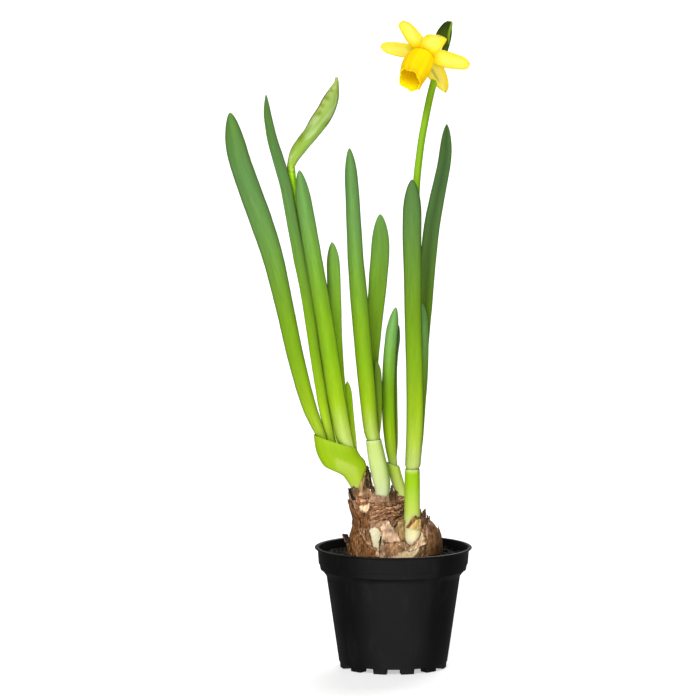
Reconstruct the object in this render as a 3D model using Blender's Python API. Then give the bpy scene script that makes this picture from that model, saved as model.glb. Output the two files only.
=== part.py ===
"""Potted daffodil: two bulbs in a small nursery pot, with their leaves, one closed bud and one open flower.

Every length below is in millimetres, in the pot's own frame: x to the right, y away from the viewer and
z up from the floor, with the pot's axis at x = y = 0. MM turns them into metres as the points are placed.
"""

import math

import bmesh
import bpy
from mathutils import Matrix, Vector, noise

MM = 0.001
GAP = 0.3
MERGE = 0.00001

# Pot
POT_HEIGHT = 69.0
RIM_RADIUS = 45.0
LIP_HEIGHT = 0.9
COLLAR_RADIUS = 43.5
COLLAR_LINE = 59.5
COLLAR_LINE_RADIUS = 42.7
COLLAR_FOOT = 56.3
COLLAR_FOOT_RADIUS = 41.8
COLLAR_STEP = 0.7
SHOULDER_FOOT = 52.7
SHOULDER_RADIUS = 38.4
BASE_RADIUS = 31.1
WALL = 1.0
FEET = 12
FOOT_HEIGHT = 2.8
FOOT_INNER_RADIUS = 25.0
FOOT_NARROWING = 0.94
CENTRE_HOLE_RADIUS = 3.0
DRAIN_HOLES = 8
DRAIN_RADIUS = 3.0
DRAIN_CIRCLE = 17.5
DRAIN_SIDES = 12
POT_SEGMENTS = 48

# Soil
SOIL_LEVEL = 63.6
SOIL_MOUND = 1.6
SOIL_LUMPS = 1.3
SOIL_LUMP_SIZE = 6.0
SOIL_SIDES = 36
SOIL_RINGS = 5

# Bulbs: height, centre x and y, half width and half depth, from the base up
BULB_LEFT = [
    (40.0, -7.0, 2.0, 4.0, 4.0),
    (45.0, -7.6, 2.0, 11.5, 10.8),
    (53.0, -8.7, 2.0, 15.4, 14.2),
    (63.0, -9.7, 2.0, 16.7, 15.0),
    (71.0, -9.8, 2.0, 16.4, 14.7),
    (79.0, -8.8, 2.0, 15.3, 13.8),
    (87.0, -8.0, 2.0, 14.3, 12.8),
    (92.5, -8.0, 2.0, 12.6, 11.0),
    (95.5, -8.0, 2.2, 9.0, 7.6),
    (96.5, -8.0, 2.4, 4.5, 3.6),
]
BULB_RIGHT = [
    (42.0, 9.0, -7.0, 4.0, 4.0),
    (47.0, 9.2, -7.0, 12.0, 11.4),
    (55.0, 9.5, -7.0, 16.4, 15.6),
    (64.0, 9.6, -7.0, 18.0, 17.0),
    (71.0, 9.7, -7.2, 18.0, 16.9),
    (77.0, 9.9, -7.6, 16.8, 15.6),
    (82.0, 10.2, -8.2, 14.0, 12.8),
    (85.5, 10.5, -8.8, 10.2, 9.2),
    (87.6, 10.6, -9.2, 5.2, 4.6),
]
BULB_SIDES = 28
BULB_ROWS_PER_SPAN = 2
BULB_RIBS = 11
BULB_WRINKLE = 0.035

# Noses of the left bulb, where a shoot leaves it: x, y, z and radius
NOSES = {
    "left": [(-14.5, 0.5, 84.0, 8.0), (-19.0, -1.6, 94.0, 6.2), (-21.3, -2.9, 102.4, 4.7)],
    "middle": [(-7.2, 0.0, 84.0, 9.5), (-6.6, 0.0, 92.0, 6.6), (-6.3, 0.0, 98.4, 5.1)],
    "rear": [(1.5, 6.5, 83.0, 8.6), (4.2, 8.4, 91.5, 5.6), (5.1, 9.0, 97.2, 4.5)],
}
NOSE_SIDES = 14

# Torn flakes of bulb skin: root, tip and width
LEFT_FLAKES = [
    ((-15.4, 1.2, 96.0), (-15.0, 1.6, 116.0), 6.0),
    ((-20.0, -5.0, 92.0), (-26.2, -4.6, 104.0), 4.0),
    ((-19.5, -1.0, 88.0), (-25.2, -3.0, 95.5), 4.4),
    ((-21.5, 0.0, 66.0), (-29.6, 0.5, 76.0), 4.6),
    ((-8.5, 4.0, 92.0), (-12.0, 6.2, 103.5), 5.0),
    ((-1.0, 3.6, 91.0), (-0.8, 4.6, 104.0), 5.0),
    ((6.0, 10.5, 88.0), (8.8, 13.0, 100.5), 5.0),
    ((-14.0, 11.0, 84.0), (-17.5, 15.5, 95.0), 6.0),
]
RIGHT_FLAKES = [
    ((15.6, -18.0, 76.0), (16.7, -19.2, 89.6), 5.0),
    ((16.5, -13.0, 80.0), (18.0, -13.6, 92.6), 4.0),
    ((19.0, -10.0, 78.0), (20.6, -10.6, 88.4), 3.6),
    ((14.0, -2.0, 80.0), (15.2, 1.0, 91.0), 6.0),
]
FLAKE_THICKNESS = 0.9

# Leaf sheaths and the bud: left x and z, right x and z, centre y and half depth, from the foot up
SHEATH_LEFT = [
    (-23.2, 98.6, -18.6, 98.4, -3.0, 2.4),
    (-24.4, 103.2, -19.2, 103.2, -3.0, 3.0),
    (-26.5, 106.9, -17.8, 107.6, -3.0, 3.8),
    (-29.4, 110.6, -16.8, 111.5, -2.4, 4.6),
    (-35.3, 113.3, -16.0, 115.0, -1.4, 5.6),
    (-40.0, 116.0, -16.5, 118.8, -0.5, 6.2),
    (-44.0, 123.6, -17.9, 122.0, 0.0, 6.5),
    (-46.3, 133.4, -18.7, 124.8, 0.0, 6.5),
]
SHEATH_MIDDLE = [
    (-9.4, 93.6, -3.4, 93.6, 0.0, 3.0),
    (-10.1, 98.1, -2.4, 98.1, 0.0, 4.0),
    (-10.8, 103.0, -1.8, 104.4, 0.0, 4.5),
    (-12.2, 108.4, -2.2, 109.6, 0.0, 4.8),
    (-14.5, 120.0, -4.2, 119.2, 0.0, 4.7),
    (-15.8, 130.0, -7.0, 131.0, 0.0, 4.6),
]
SHEATH_REAR = [
    (2.4, 92.4, 7.6, 92.2, 9.0, 2.4),
    (1.6, 96.4, 8.0, 96.2, 9.0, 3.2),
    (0.2, 101.0, 7.4, 100.4, 9.0, 3.5),
    (-1.4, 106.0, 6.2, 104.8, 9.0, 3.7),
    (-2.8, 111.0, 4.8, 109.4, 9.0, 3.8),
    (-4.0, 116.6, 3.7, 113.8, 9.0, 3.8),
]
SHEATH_RIGHT = [
    (8.4, 70.6, 12.4, 70.6, -18.6, 2.6),
    (6.7, 72.6, 14.1, 72.6, -18.4, 4.4),
    (5.9, 77.0, 14.8, 77.0, -18.0, 5.1),
    (6.0, 92.0, 15.0, 92.0, -15.8, 5.2),
    (6.2, 104.0, 15.0, 104.0, -13.8, 5.2),
    (6.3, 115.2, 14.9, 115.4, -12.3, 5.2),
]
SHEATH_SIDES = 16
SHEATH_ROWS_PER_SPAN = 2
SHEATH_WALL = 0.7
SHEATH_SQUARENESS = 2.3
BUD = [
    (-60.5, 287.4, -56.1, 287.1, -0.5, 2.3),
    (-58.9, 295.2, -53.1, 291.5, -1.2, 3.2),
    (-55.4, 301.7, -48.6, 296.9, -2.0, 4.0),
    (-50.8, 307.4, -43.8, 302.6, -2.8, 4.6),
    (-46.9, 314.4, -38.4, 309.3, -3.6, 5.0),
    (-43.2, 320.0, -34.4, 315.8, -4.0, 4.9),
    (-39.2, 325.5, -31.8, 323.0, -4.2, 4.2),
    (-35.1, 331.6, -30.8, 329.9, -4.2, 2.6),
    (-33.0, 336.6, -31.5, 336.3, -4.2, 0.9),
]
BUD_SIDES = 10

# Leaves: x, y, z and width from the foot up, then the side that bulges (0 is towards the viewer) and the
# twist from foot to tip in degrees, and the depth of the gutter at foot and tip as a share of the width
LEAVES = {
    "leaf_left_1": (
        [
            (-37.0, -1.5, 121.2, 4.8), (-39.4, -1.4, 128.0, 5.0), (-41.7, -1.5, 134.4, 5.9),
            (-48.4, -3.6, 151.4, 8.2), (-55.8, -5.0, 178.9, 9.4), (-61.8, -5.0, 206.4, 10.2),
            (-68.2, -5.0, 233.9, 11.8), (-74.7, -5.5, 254.4, 12.9), (-82.0, -6.0, 274.9, 12.9),
            (-88.7, -6.0, 295.3, 12.2), (-92.7, -6.0, 317.6, 10.6),
        ],
        12, -24, 0.2, 0.1,
    ),
    "leaf_left_2": (
        [
            (-34.0, 1.3, 121.2, 4.4), (-35.8, 1.1, 130.5, 4.8), (-39.7, -0.6, 148.3, 6.0),
            (-44.9, -1.4, 181.0, 6.2), (-49.5, -1.6, 213.1, 6.8), (-53.5, -1.8, 233.6, 7.1),
            (-57.4, -2.2, 254.1, 6.9), (-61.1, -3.2, 274.6, 6.9), (-64.8, -3.6, 288.3, 7.0),
            (-68.8, -3.6, 301.9, 6.2), (-71.5, -3.5, 315.5, 4.8), (-72.3, -3.4, 327.6, 3.0),
        ],
        -10, -12, 0.16, 0.14,
    ),
    "leaf_left_3": (
        [
            (-24.8, -2.2, 121.8, 6.8), (-26.6, -3.0, 128.5, 8.2), (-28.7, -4.0, 135.2, 9.6),
            (-32.8, -5.5, 156.9, 10.2), (-36.5, -6.0, 181.6, 10.2), (-40.1, -6.0, 204.4, 10.1),
            (-44.1, -6.0, 227.2, 9.7), (-48.0, -6.0, 250.0, 9.5), (-50.3, -6.0, 263.6, 9.1),
            (-53.5, -6.0, 285.0, 7.6),
        ],
        0, 10, 0.16, 0.14,
    ),
    "leaf_left_4": (
        [
            (-23.6, 0.2, 121.4, 4.2), (-24.9, 0.6, 127.0, 5.0), (-27.1, 1.6, 135.9, 6.0),
            (-30.8, 3.0, 160.5, 7.0), (-32.8, 3.4, 184.6, 7.4), (-33.9, 3.4, 215.0, 7.9),
            (-34.6, 3.0, 234.4, 7.6), (-35.0, 2.8, 243.4, 7.0),
        ],
        180, 14, 0.08, 0.14,
    ),
    "leaf_left_5": (
        [
            (-21.8, 2.3, 121.0, 2.6), (-22.5, 2.8, 127.0, 3.4), (-23.5, 4.3, 133.0, 4.2),
            (-24.9, 5.6, 144.2, 4.6), (-25.7, 6.0, 155.6, 4.4), (-26.4, 6.0, 163.4, 3.8),
        ],
        170, 0, 0.05, 0.12,
    ),
    "leaf_middle_1": (
        [
            (-10.0, -1.8, 120.8, 5.8), (-11.0, -1.8, 130.0, 6.1), (-13.0, -2.4, 139.3, 8.4),
            (-15.4, -3.0, 162.8, 9.6), (-17.4, -3.4, 185.2, 10.0), (-19.7, -3.4, 211.0, 10.1),
            (-21.7, -3.2, 233.8, 9.2), (-22.8, -3.0, 254.3, 8.6), (-23.9, -3.0, 274.7, 7.9),
            (-25.1, -3.0, 297.3, 6.6),
        ],
        0, -16, 0.28, 0.16,
    ),
    "leaf_middle_2": (
        [
            (-10.4, 2.1, 120.8, 4.6), (-11.0, 2.2, 130.0, 4.9), (-12.3, 3.4, 147.3, 6.4),
            (-12.8, 4.4, 170.3, 8.0), (-11.7, 4.8, 190.2, 9.2), (-10.0, 4.8, 209.2, 9.9),
            (-8.6, 4.6, 226.3, 10.8), (-7.7, 4.4, 240.0, 10.6), (-7.6, 4.2, 259.3, 9.6),
        ],
        180, 12, 0.2, 0.14,
    ),
    "leaf_middle_3": (
        [
            (-8.7, 0.3, 120.8, 2.2), (-9.3, 0.3, 130.0, 2.3), (-8.6, 0.2, 141.8, 3.6),
            (-8.5, 0.0, 156.1, 4.1), (-8.9, 0.0, 167.6, 4.2), (-9.7, 0.0, 176.0, 3.6),
        ],
        180, 0, 0.04, 0.12,
    ),
    "leaf_rear_1": (
        [
            (0.7, 7.6, 111.6, 4.4), (-0.3, 7.6, 117.0, 4.9), (-1.4, 7.8, 126.0, 6.4),
            (-2.5, 8.0, 140.9, 7.4), (-2.8, 8.0, 158.2, 7.5), (-2.2, 8.0, 174.3, 7.4),
            (-1.0, 8.0, 189.0, 7.2), (1.4, 8.0, 205.7, 6.0),
        ],
        0, 20, 0.1, 0.16,
    ),
    "leaf_rear_2": (
        [
            (0.9, 10.4, 111.4, 2.8), (0.4, 10.5, 117.5, 3.0), (0.6, 11.2, 129.0, 4.2),
            (0.1, 12.0, 152.0, 4.6), (-0.1, 12.2, 172.2, 4.9), (1.6, 12.0, 186.6, 4.4),
            (3.0, 12.0, 195.0, 3.6),
        ],
        180, 0, 0.08, 0.12,
    ),
    "leaf_right_1": (
        [
            (10.6, -15.8, 105.8, 6.2), (10.6, -14.6, 116.0, 6.2), (11.1, -15.1, 121.5, 8.4),
            (11.7, -16.0, 131.9, 9.4), (12.1, -16.4, 149.1, 9.7), (11.8, -16.4, 171.9, 9.7),
            (11.0, -16.0, 200.4, 9.7), (10.6, -15.6, 228.9, 10.2), (10.3, -15.0, 251.6, 10.8),
            (10.4, -14.6, 270.0, 10.4), (10.2, -14.4, 280.3, 9.8),
        ],
        0, 8, 0.3, 0.08,
    ),
    "leaf_right_2": (
        [
            (10.5, -10.3, 105.8, 3.8), (10.7, -9.1, 116.0, 4.0), (13.2, -8.0, 131.6, 5.8),
            (14.7, -6.8, 160.2, 6.9), (16.1, -6.0, 185.8, 7.6), (17.8, -5.6, 211.3, 8.6),
            (19.4, -5.3, 234.0, 9.1), (21.7, -5.0, 254.5, 9.1), (24.2, -5.0, 268.1, 8.6),
            (26.5, -5.0, 279.5, 8.0), (28.8, -5.0, 291.9, 7.4), (29.9, -5.0, 311.0, 6.0),
        ],
        180, 10, 0.2, 0.22,
    ),
    "leaf_right_3": (
        [
            (12.9, -13.2, 105.8, 1.8), (12.9, -12.0, 116.0, 1.9), (15.1, -10.4, 129.0, 3.0),
            (16.2, -9.8, 149.0, 4.0), (17.5, -9.6, 171.7, 4.5), (17.8, -9.4, 191.6, 4.5),
            (17.2, -9.2, 203.0, 4.0), (16.2, -9.0, 209.6, 3.2),
        ],
        20, 0, 0.04, 0.12,
    ),
}
LEAF_FOOT_LENGTH = 20.0
LEAF_FOOT_STEPS = (0.0, 0.3, 0.6)
LEAF_ROWS = 9
LEAF_TIP_STEPS = (1.0, 0.6, 0.3, 0.1, 0.0)
LEAF_TIP_LENGTH = 1.8
LEAF_TIP_WIDTH = 0.9
LEAF_ACROSS = (-1.0, -0.4, 0.4, 1.0)
PETAL_ACROSS = (-1.0, -0.5, 0.0, 0.5, 1.0)
LEAF_EDGE = 0.7

# Stems: x, y, z and radius from the foot up
STEM_BUD = [
    (-28.8, 2.7, 121.2, 1.9), (-32.8, 3.1, 134.9, 2.1), (-38.5, 2.7, 156.0, 2.2), (-42.5, 2.5, 184.7, 2.2),
    (-45.9, 2.5, 210.5, 2.2), (-49.8, 2.5, 236.2, 2.2), (-53.8, 2.2, 259.1, 2.2), (-57.2, 1.0, 276.2, 2.2),
    (-58.3, -0.3, 286.7, 2.2),
]
STEM_FLOWER = [
    (9.7, -13.4, 105.8, 1.8), (9.7, -12.2, 116.0, 1.8), (11.3, -11.5, 137.0, 2.1),
    (11.8, -10.8, 171.6, 2.1), (11.8, -10.0, 220.0, 2.1), (12.4, -8.0, 270.0, 2.1),
    (14.7, -4.2, 295.2, 2.0), (17.5, -0.4, 311.9, 2.0), (21.1, 3.8, 328.6, 2.0),
    (25.0, 7.0, 341.9, 2.0), (28.4, 7.8, 351.4, 2.0),
]
FLOWER_STALK = [
    (30.0, 8.0, 355.2, 1.6), (31.2, 8.1, 359.8, 1.5), (31.6, 8.0, 363.8, 1.4), (30.5, 7.4, 365.9, 1.4),
    (28.9, 6.2, 364.4, 1.4), (27.2, 4.4, 361.8, 1.7), (25.0, 2.3, 360.0, 2.1), (22.9, 0.4, 359.3, 2.4),
    (21.2, -1.3, 358.5, 2.1), (20.35, -2.8, 357.35, 1.6),
]
STEM_SIDES = 10
STEM_STEP = 11.0
STALK_STEP = 3.0
SPATHE = (
    [
        (30.8, 4.9, 356.0, 3.0), (31.2, 4.4, 358.8, 3.8), (31.4, 4.2, 361.6, 4.2),
        (31.6, 4.5, 364.4, 4.0), (32.0, 5.3, 367.2, 3.0),
    ],
    35, 0, 0.22, 0.22,
)

# Flower: the middle of its petals, the way it looks, and its pieces along that axis
FLOWER_CENTRE = Vector((16.9, -9.0, 350.8))
FLOWER_AXIS = Vector((-0.354, -0.643, -0.679)).normalized()
FLOWER_SIDE = Vector((-0.887, 0.0, 0.462))
TUBE = [(-8.9, 1.7), (-7.6, 2.0), (-5.6, 2.4), (-3.4, 3.2), (-1.6, 4.4), (0.4, 5.3), (0.9, 5.0)]
TUBE_SIDES = 18
PETAL_LENGTH = 26.0
PETAL_ROOT = 2.0
PETAL_WIDTH = 11.0
PETAL_THICKNESS = 0.9
PETAL_ROWS = 7
PETAL_START = 0.16
PETAL_STOP = 0.965
PETAL_FULLNESS = 0.75
# Each petal: its angle, layer, bend of its tip, fold across it, and share of the full length and width
PETALS = [
    (43.0, 0.1, 0.5, 1.0, 1.02, 1.15),
    (162.0, 0.1, -0.6, 1.2, 1.02, 1.0),
    (275.0, 0.1, -1.5, 1.0, 0.96, 1.0),
    (-30.0, -1.3, 0.4, 0.9, 1.03, 0.95),
    (100.0, -1.3, 2.5, 1.2, 0.92, 1.1),
    (219.0, -1.3, -0.4, 1.8, 1.04, 1.0),
]

# Corona: distance along the axis and radius, on the outside from its foot to its mouth
CORONA = [(1.2, 4.9), (3.0, 5.3), (7.0, 5.6), (11.0, 6.0), (14.5, 6.5), (17.6, 7.1), (20.2, 7.8)]
CORONA_WALL = 0.8
CORONA_SIDES = 30
CORONA_FRILLS = 6
CORONA_FRILL_DEPTH = 0.08
CORONA_LOBE_LENGTH = 0.9

# Stamens and style
STAMENS = 6
STAMEN_CIRCLE = 2.1
STAMEN_BASE = (2.4, 3.3)
FILAMENT = (2.8, 9.5, 0.5)
ANTHER = (9.0, 13.0, 0.8)
STYLE = (2.8, 15.0, 0.6)
STIGMA = (14.6, 15.8, 1.2)
STAMEN_SIDES = 6

# Colour, roughness and metallic value of each material
MATERIALS = {
    "black_plastic": ((0.014, 0.014, 0.015), 0.42, 0.0),
    "peat": ((0.022, 0.014, 0.009), 0.95, 0.0),
    "bulb_skin": ((0.33, 0.17, 0.085), 0.7, 0.0),
    "sheath_green": ((0.42, 0.62, 0.14), 0.45, 0.0),
    "leaf_green": ((0.13, 0.33, 0.035), 0.42, 0.0),
    "stem_green": ((0.22, 0.42, 0.03), 0.42, 0.0),
    "bud_green": ((0.42, 0.58, 0.2), 0.5, 0.0),
    "spathe_green": ((0.07, 0.16, 0.02), 0.5, 0.0),
    "petal_yellow": ((0.9, 0.78, 0.05), 0.5, 0.0),
    "corona_yellow": ((0.95, 0.6, 0.01), 0.5, 0.0),
    "stamen_yellow": ((0.95, 0.5, 0.02), 0.6, 0.0),
}


def clear_scene():
    for item in list(bpy.data.objects):
        bpy.data.objects.remove(item, do_unlink=True)


def make_materials():
    """One Principled material for each entry of MATERIALS."""
    made = {}
    for name, (colour, roughness, metallic) in MATERIALS.items():
        material = bpy.data.materials.new(name)
        material.use_nodes = True
        shader = material.node_tree.nodes["Principled BSDF"]
        shader.inputs["Base Color"].default_value = (*colour, 1.0)
        shader.inputs["Roughness"].default_value = roughness
        shader.inputs["Metallic"].default_value = metallic
        made[name] = material
    return made


def place(verts, points):
    for vert, point in zip(verts, points):
        vert.co = Vector(point) * MM


def loft(rings):
    """A closed body through rings of points: a circle moved to the first ring, then grown edge by edge."""
    body = bmesh.new()
    bmesh.ops.create_circle(body, cap_ends=True, segments=len(rings[0]), radius=MM)
    ring = list(body.verts)
    place(ring, rings[0])
    edges = list(body.edges)
    for points in rings[1:]:
        grown = bmesh.ops.extrude_edge_only(body, edges=edges)["geom"]
        fresh = {item for item in grown if isinstance(item, bmesh.types.BMVert)}
        ring = [
            next(edge.other_vert(vert) for edge in vert.link_edges if edge.other_vert(vert) in fresh)
            for vert in ring
        ]
        place(ring, points)
        edges = [body.edges.get(pair) for pair in zip(ring, ring[1:] + ring[:1])]
    bmesh.ops.edgeloop_fill(body, edges=edges)
    return body


def add_node(name, body, material, smooth=True):
    """Turns a bmesh into a named object in the scene."""
    bmesh.ops.recalc_face_normals(body, faces=body.faces)
    for face in body.faces:
        face.smooth = smooth
    mesh = bpy.data.meshes.new(name)
    body.to_mesh(mesh)
    body.free()
    mesh.materials.append(material)
    node = bpy.data.objects.new(name, mesh)
    bpy.context.scene.collection.objects.link(node)
    return node


def combine(target, tools, operation):
    """Joins the tools to the target, or cuts them out of it, and removes them."""
    group = bpy.data.collections.new("tools")
    bpy.context.scene.collection.children.link(group)
    for tool in tools:
        group.objects.link(tool)
    modifier = target.modifiers.new("combine", "BOOLEAN")
    modifier.operand_type = "COLLECTION"
    modifier.collection = group
    modifier.operation = operation
    depsgraph = bpy.context.evaluated_depsgraph_get()
    result = bpy.data.meshes.new_from_object(target.evaluated_get(depsgraph))
    target.modifiers.clear()
    target.data = result
    for tool in tools:
        bpy.data.objects.remove(tool, do_unlink=True)
    bpy.data.collections.remove(group)


def spline(rows, per_span):
    """Rows of numbers on a smooth curve through the given rows."""
    ends = [rows[0], *rows, rows[-1]]
    curve = []
    for before, start, stop, after in zip(ends, ends[1:], ends[2:], ends[3:]):
        for step in range(per_span):
            t = step / per_span
            curve.append(tuple(
                b + 0.5 * t * (c - a + t * (2 * a - 5 * b + 4 * c - d + t * (3 * b - a - 3 * c + d)))
                for a, b, c, d in zip(before, start, stop, after)
            ))
    curve.append(tuple(rows[-1]))
    return curve


def at_distances(rows, distances_for):
    """Rows of the curve through rows, at the distances that distances_for gives for its length."""
    curve = spline(rows, 12)
    reached = [0.0]
    for here, there in zip(curve, curve[1:]):
        reached.append(reached[-1] + (Vector(there[:3]) - Vector(here[:3])).length)
    picked = []
    for distance in distances_for(reached[-1]):
        index = max(i for i in range(len(curve) - 1) if reached[i] <= distance + 1e-9 or i == 0)
        share = (distance - reached[index]) / (reached[index + 1] - reached[index])
        picked.append(tuple(a + (b - a) * share for a, b in zip(curve[index], curve[index + 1])))
    return picked


def directions(points):
    """The way the curve goes at each of its points."""
    last = len(points) - 1
    return [(points[min(i + 1, last)] - points[max(i - 1, 0)]).normalized() for i in range(last + 1)]


def blade(route, bulge_side, twist, foot_cup, tip_cup):
    """A long leaf with a gutter across it, blunt at its tip."""
    widest = max(row[3] for row in route)
    tip = LEAF_TIP_LENGTH * widest

    def distances(length):
        start = min(LEAF_FOOT_LENGTH, (length - tip) / 3.0)
        foot = [start * share for share in LEAF_FOOT_STEPS]
        body = [start + (length - tip - start) * i / LEAF_ROWS for i in range(LEAF_ROWS)]
        return foot + body + [length - tip * share for share in LEAF_TIP_STEPS]

    rows = at_distances(route, distances)
    centres = [Vector(row[:3]) for row in rows]
    left = [0.0] * len(rows)
    for i in range(len(rows) - 2, -1, -1):
        left[i] = left[i + 1] + (centres[i + 1] - centres[i]).length
    rings = []
    for row, centre, along, remaining in zip(rows, centres, directions(centres), left):
        share = 1.0 - remaining / left[0]
        angle = math.radians(bulge_side + twist * share)
        bulge = Vector((math.sin(angle), -math.cos(angle), 0.0))
        bulge = (bulge - along * bulge.dot(along)).normalized()
        across = along.cross(bulge)
        narrowing = (1.0 - (1.0 - min(remaining / tip, 1.0)) ** 2) ** 0.6
        width = max(row[3] * narrowing, LEAF_TIP_WIDTH)
        cup = (foot_cup + (tip_cup - foot_cup) * min(share * 4.0, 1.0)) * width
        middle = min(max(0.14 * row[3] + 0.3, 0.9), 1.7) * (0.6 + 0.4 * narrowing)
        front = []
        back = []
        for u in LEAF_ACROSS:
            rise = cup * (0.5 - u * u)
            half = 0.5 * (LEAF_EDGE + (max(middle, LEAF_EDGE) - LEAF_EDGE) * (1.0 - u * u))
            base = centre + across * (u * width / 2.0)
            front.append(base + bulge * (rise + half))
            back.append(base + bulge * (rise - half))
        rings.append(front + back[::-1])
    return loft(rings)


def round_stem(rows, sides):
    """Rings of a round stem through rows of x, y, z and radius."""
    centres = [Vector(row[:3]) for row in rows]
    rings = []
    for row, centre, along in zip(rows, centres, directions(centres)):
        side = along.cross(Vector((0.0, -1.0, 0.0))).normalized()
        out = side.cross(along)
        turns = [2.0 * math.pi * i / sides for i in range(sides)]
        rings.append([centre + (side * math.cos(t) + out * math.sin(t)) * row[3] for t in turns])
    return rings


def every(step):
    """Distances about a step apart along any length."""
    def distances(length):
        count = max(round(length / step), 1)
        return [length * i / count for i in range(count + 1)]
    return distances


def outline_ring(row, sides, squareness, grow=0.0):
    """A ring between a left and a right outline point, as deep as the row says."""
    left_x, left_z, right_x, right_z, y, half_depth = row
    centre = Vector(((left_x + right_x) / 2.0, y, (left_z + right_z) / 2.0))
    half = Vector(((right_x - left_x) / 2.0, 0.0, (right_z - left_z) / 2.0))
    half *= (half.length + grow) / half.length
    depth = Vector((0.0, half_depth + grow, 0.0))
    points = []
    for i in range(sides):
        turn = 2.0 * math.pi * i / sides
        c = math.copysign(abs(math.cos(turn)) ** (2.0 / squareness), math.cos(turn))
        s = math.copysign(abs(math.sin(turn)) ** (2.0 / squareness), math.sin(turn))
        points.append(centre + half * c + depth * s)
    return points


def sheath_body(rows, floor_row):
    """A sheath, solid up to its floor row and hollow above it."""
    fine = spline(rows, SHEATH_ROWS_PER_SPAN)
    outside = [outline_ring(row, SHEATH_SIDES, SHEATH_SQUARENESS) for row in fine]
    floor = round(floor_row * SHEATH_ROWS_PER_SPAN)
    inside = [
        outline_ring(row, SHEATH_SIDES, SHEATH_SQUARENESS, -SHEATH_WALL) for row in reversed(fine[floor:])
    ]
    return loft(outside + inside)


def sheath_socket(rows, spans):
    """What the foot of a sheath, with its clearance, takes out of its bulb."""
    fine = spline(rows, SHEATH_ROWS_PER_SPAN)[:spans * SHEATH_ROWS_PER_SPAN + 1]
    rings = [outline_ring(row, SHEATH_SIDES, SHEATH_SQUARENESS, GAP) for row in fine]
    rings[0] = [point + Vector((0.0, 0.0, -GAP)) for point in rings[0]]
    return loft(rings)


def bulb_rings(rows, grow=0.0):
    """Rings of a bulb, ribbed and wrinkled lengthwise, or the same a little larger all round."""
    middle = (rows[0][0] + rows[-1][0]) / 2.0
    stretch = 1.0 + grow / (rows[-1][0] - middle)
    rings = []
    for z, x, y, half_width, half_depth in spline(rows, BULB_ROWS_PER_SPAN):
        ring = []
        for i in range(BULB_SIDES):
            turn = 2.0 * math.pi * i / BULB_SIDES
            wobble = noise.noise(Vector((2.2 * math.cos(turn) + x, 2.2 * math.sin(turn) + y, z / 11.0)))
            rib = math.sin(BULB_RIBS * turn + z / 9.0) * 0.35
            swell = 1.0 + BULB_WRINKLE * (wobble + rib)
            ring.append((
                x + (half_width * swell + grow) * math.cos(turn),
                y + (half_depth * swell + grow) * math.sin(turn),
                middle + (z - middle) * stretch,
            ))
        rings.append(ring)
    return rings


def flake(root, tip, width):
    """A torn strip of dry skin, wide at its root and pointed at its tip."""
    root = Vector(root)
    tip = Vector(tip)
    along = (tip - root).normalized()
    across = along.cross(Vector((0.0, -1.0, 0.0))).normalized()
    out = across.cross(along)
    half = FLAKE_THICKNESS / 2.0
    rings = []
    for share, wide, lift in ((0.0, 1.0, 0.0), (0.45, 0.85, 0.5), (0.75, 0.5, 0.3), (1.0, 0.16, -0.6)):
        centre = root + (tip - root) * share + out * lift
        side = across * (width * wide / 2.0)
        rings.append([
            centre - side + out * half, centre + out * (half + 0.3), centre + side + out * half,
            centre + side - out * half, centre - out * (half - 0.3), centre - side - out * half,
        ])
    return loft(rings)


def on_axis(distance, radius, turn):
    """A point of the flower, round its axis."""
    up = FLOWER_SIDE.cross(FLOWER_AXIS)
    return (FLOWER_CENTRE + FLOWER_AXIS * distance
            + (FLOWER_SIDE * math.cos(turn) + up * math.sin(turn)) * radius)


def axis_rings(rows, sides, centre=(0.0, 0.0)):
    """Rings round the flower's axis, or round a line beside it, for rows of distance and radius."""
    circle, turn = centre
    middle = on_axis(0.0, circle, turn) - FLOWER_CENTRE
    return [
        [on_axis(distance, radius, 2.0 * math.pi * i / sides) + middle for i in range(sides)]
        for distance, radius in rows
    ]


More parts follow.
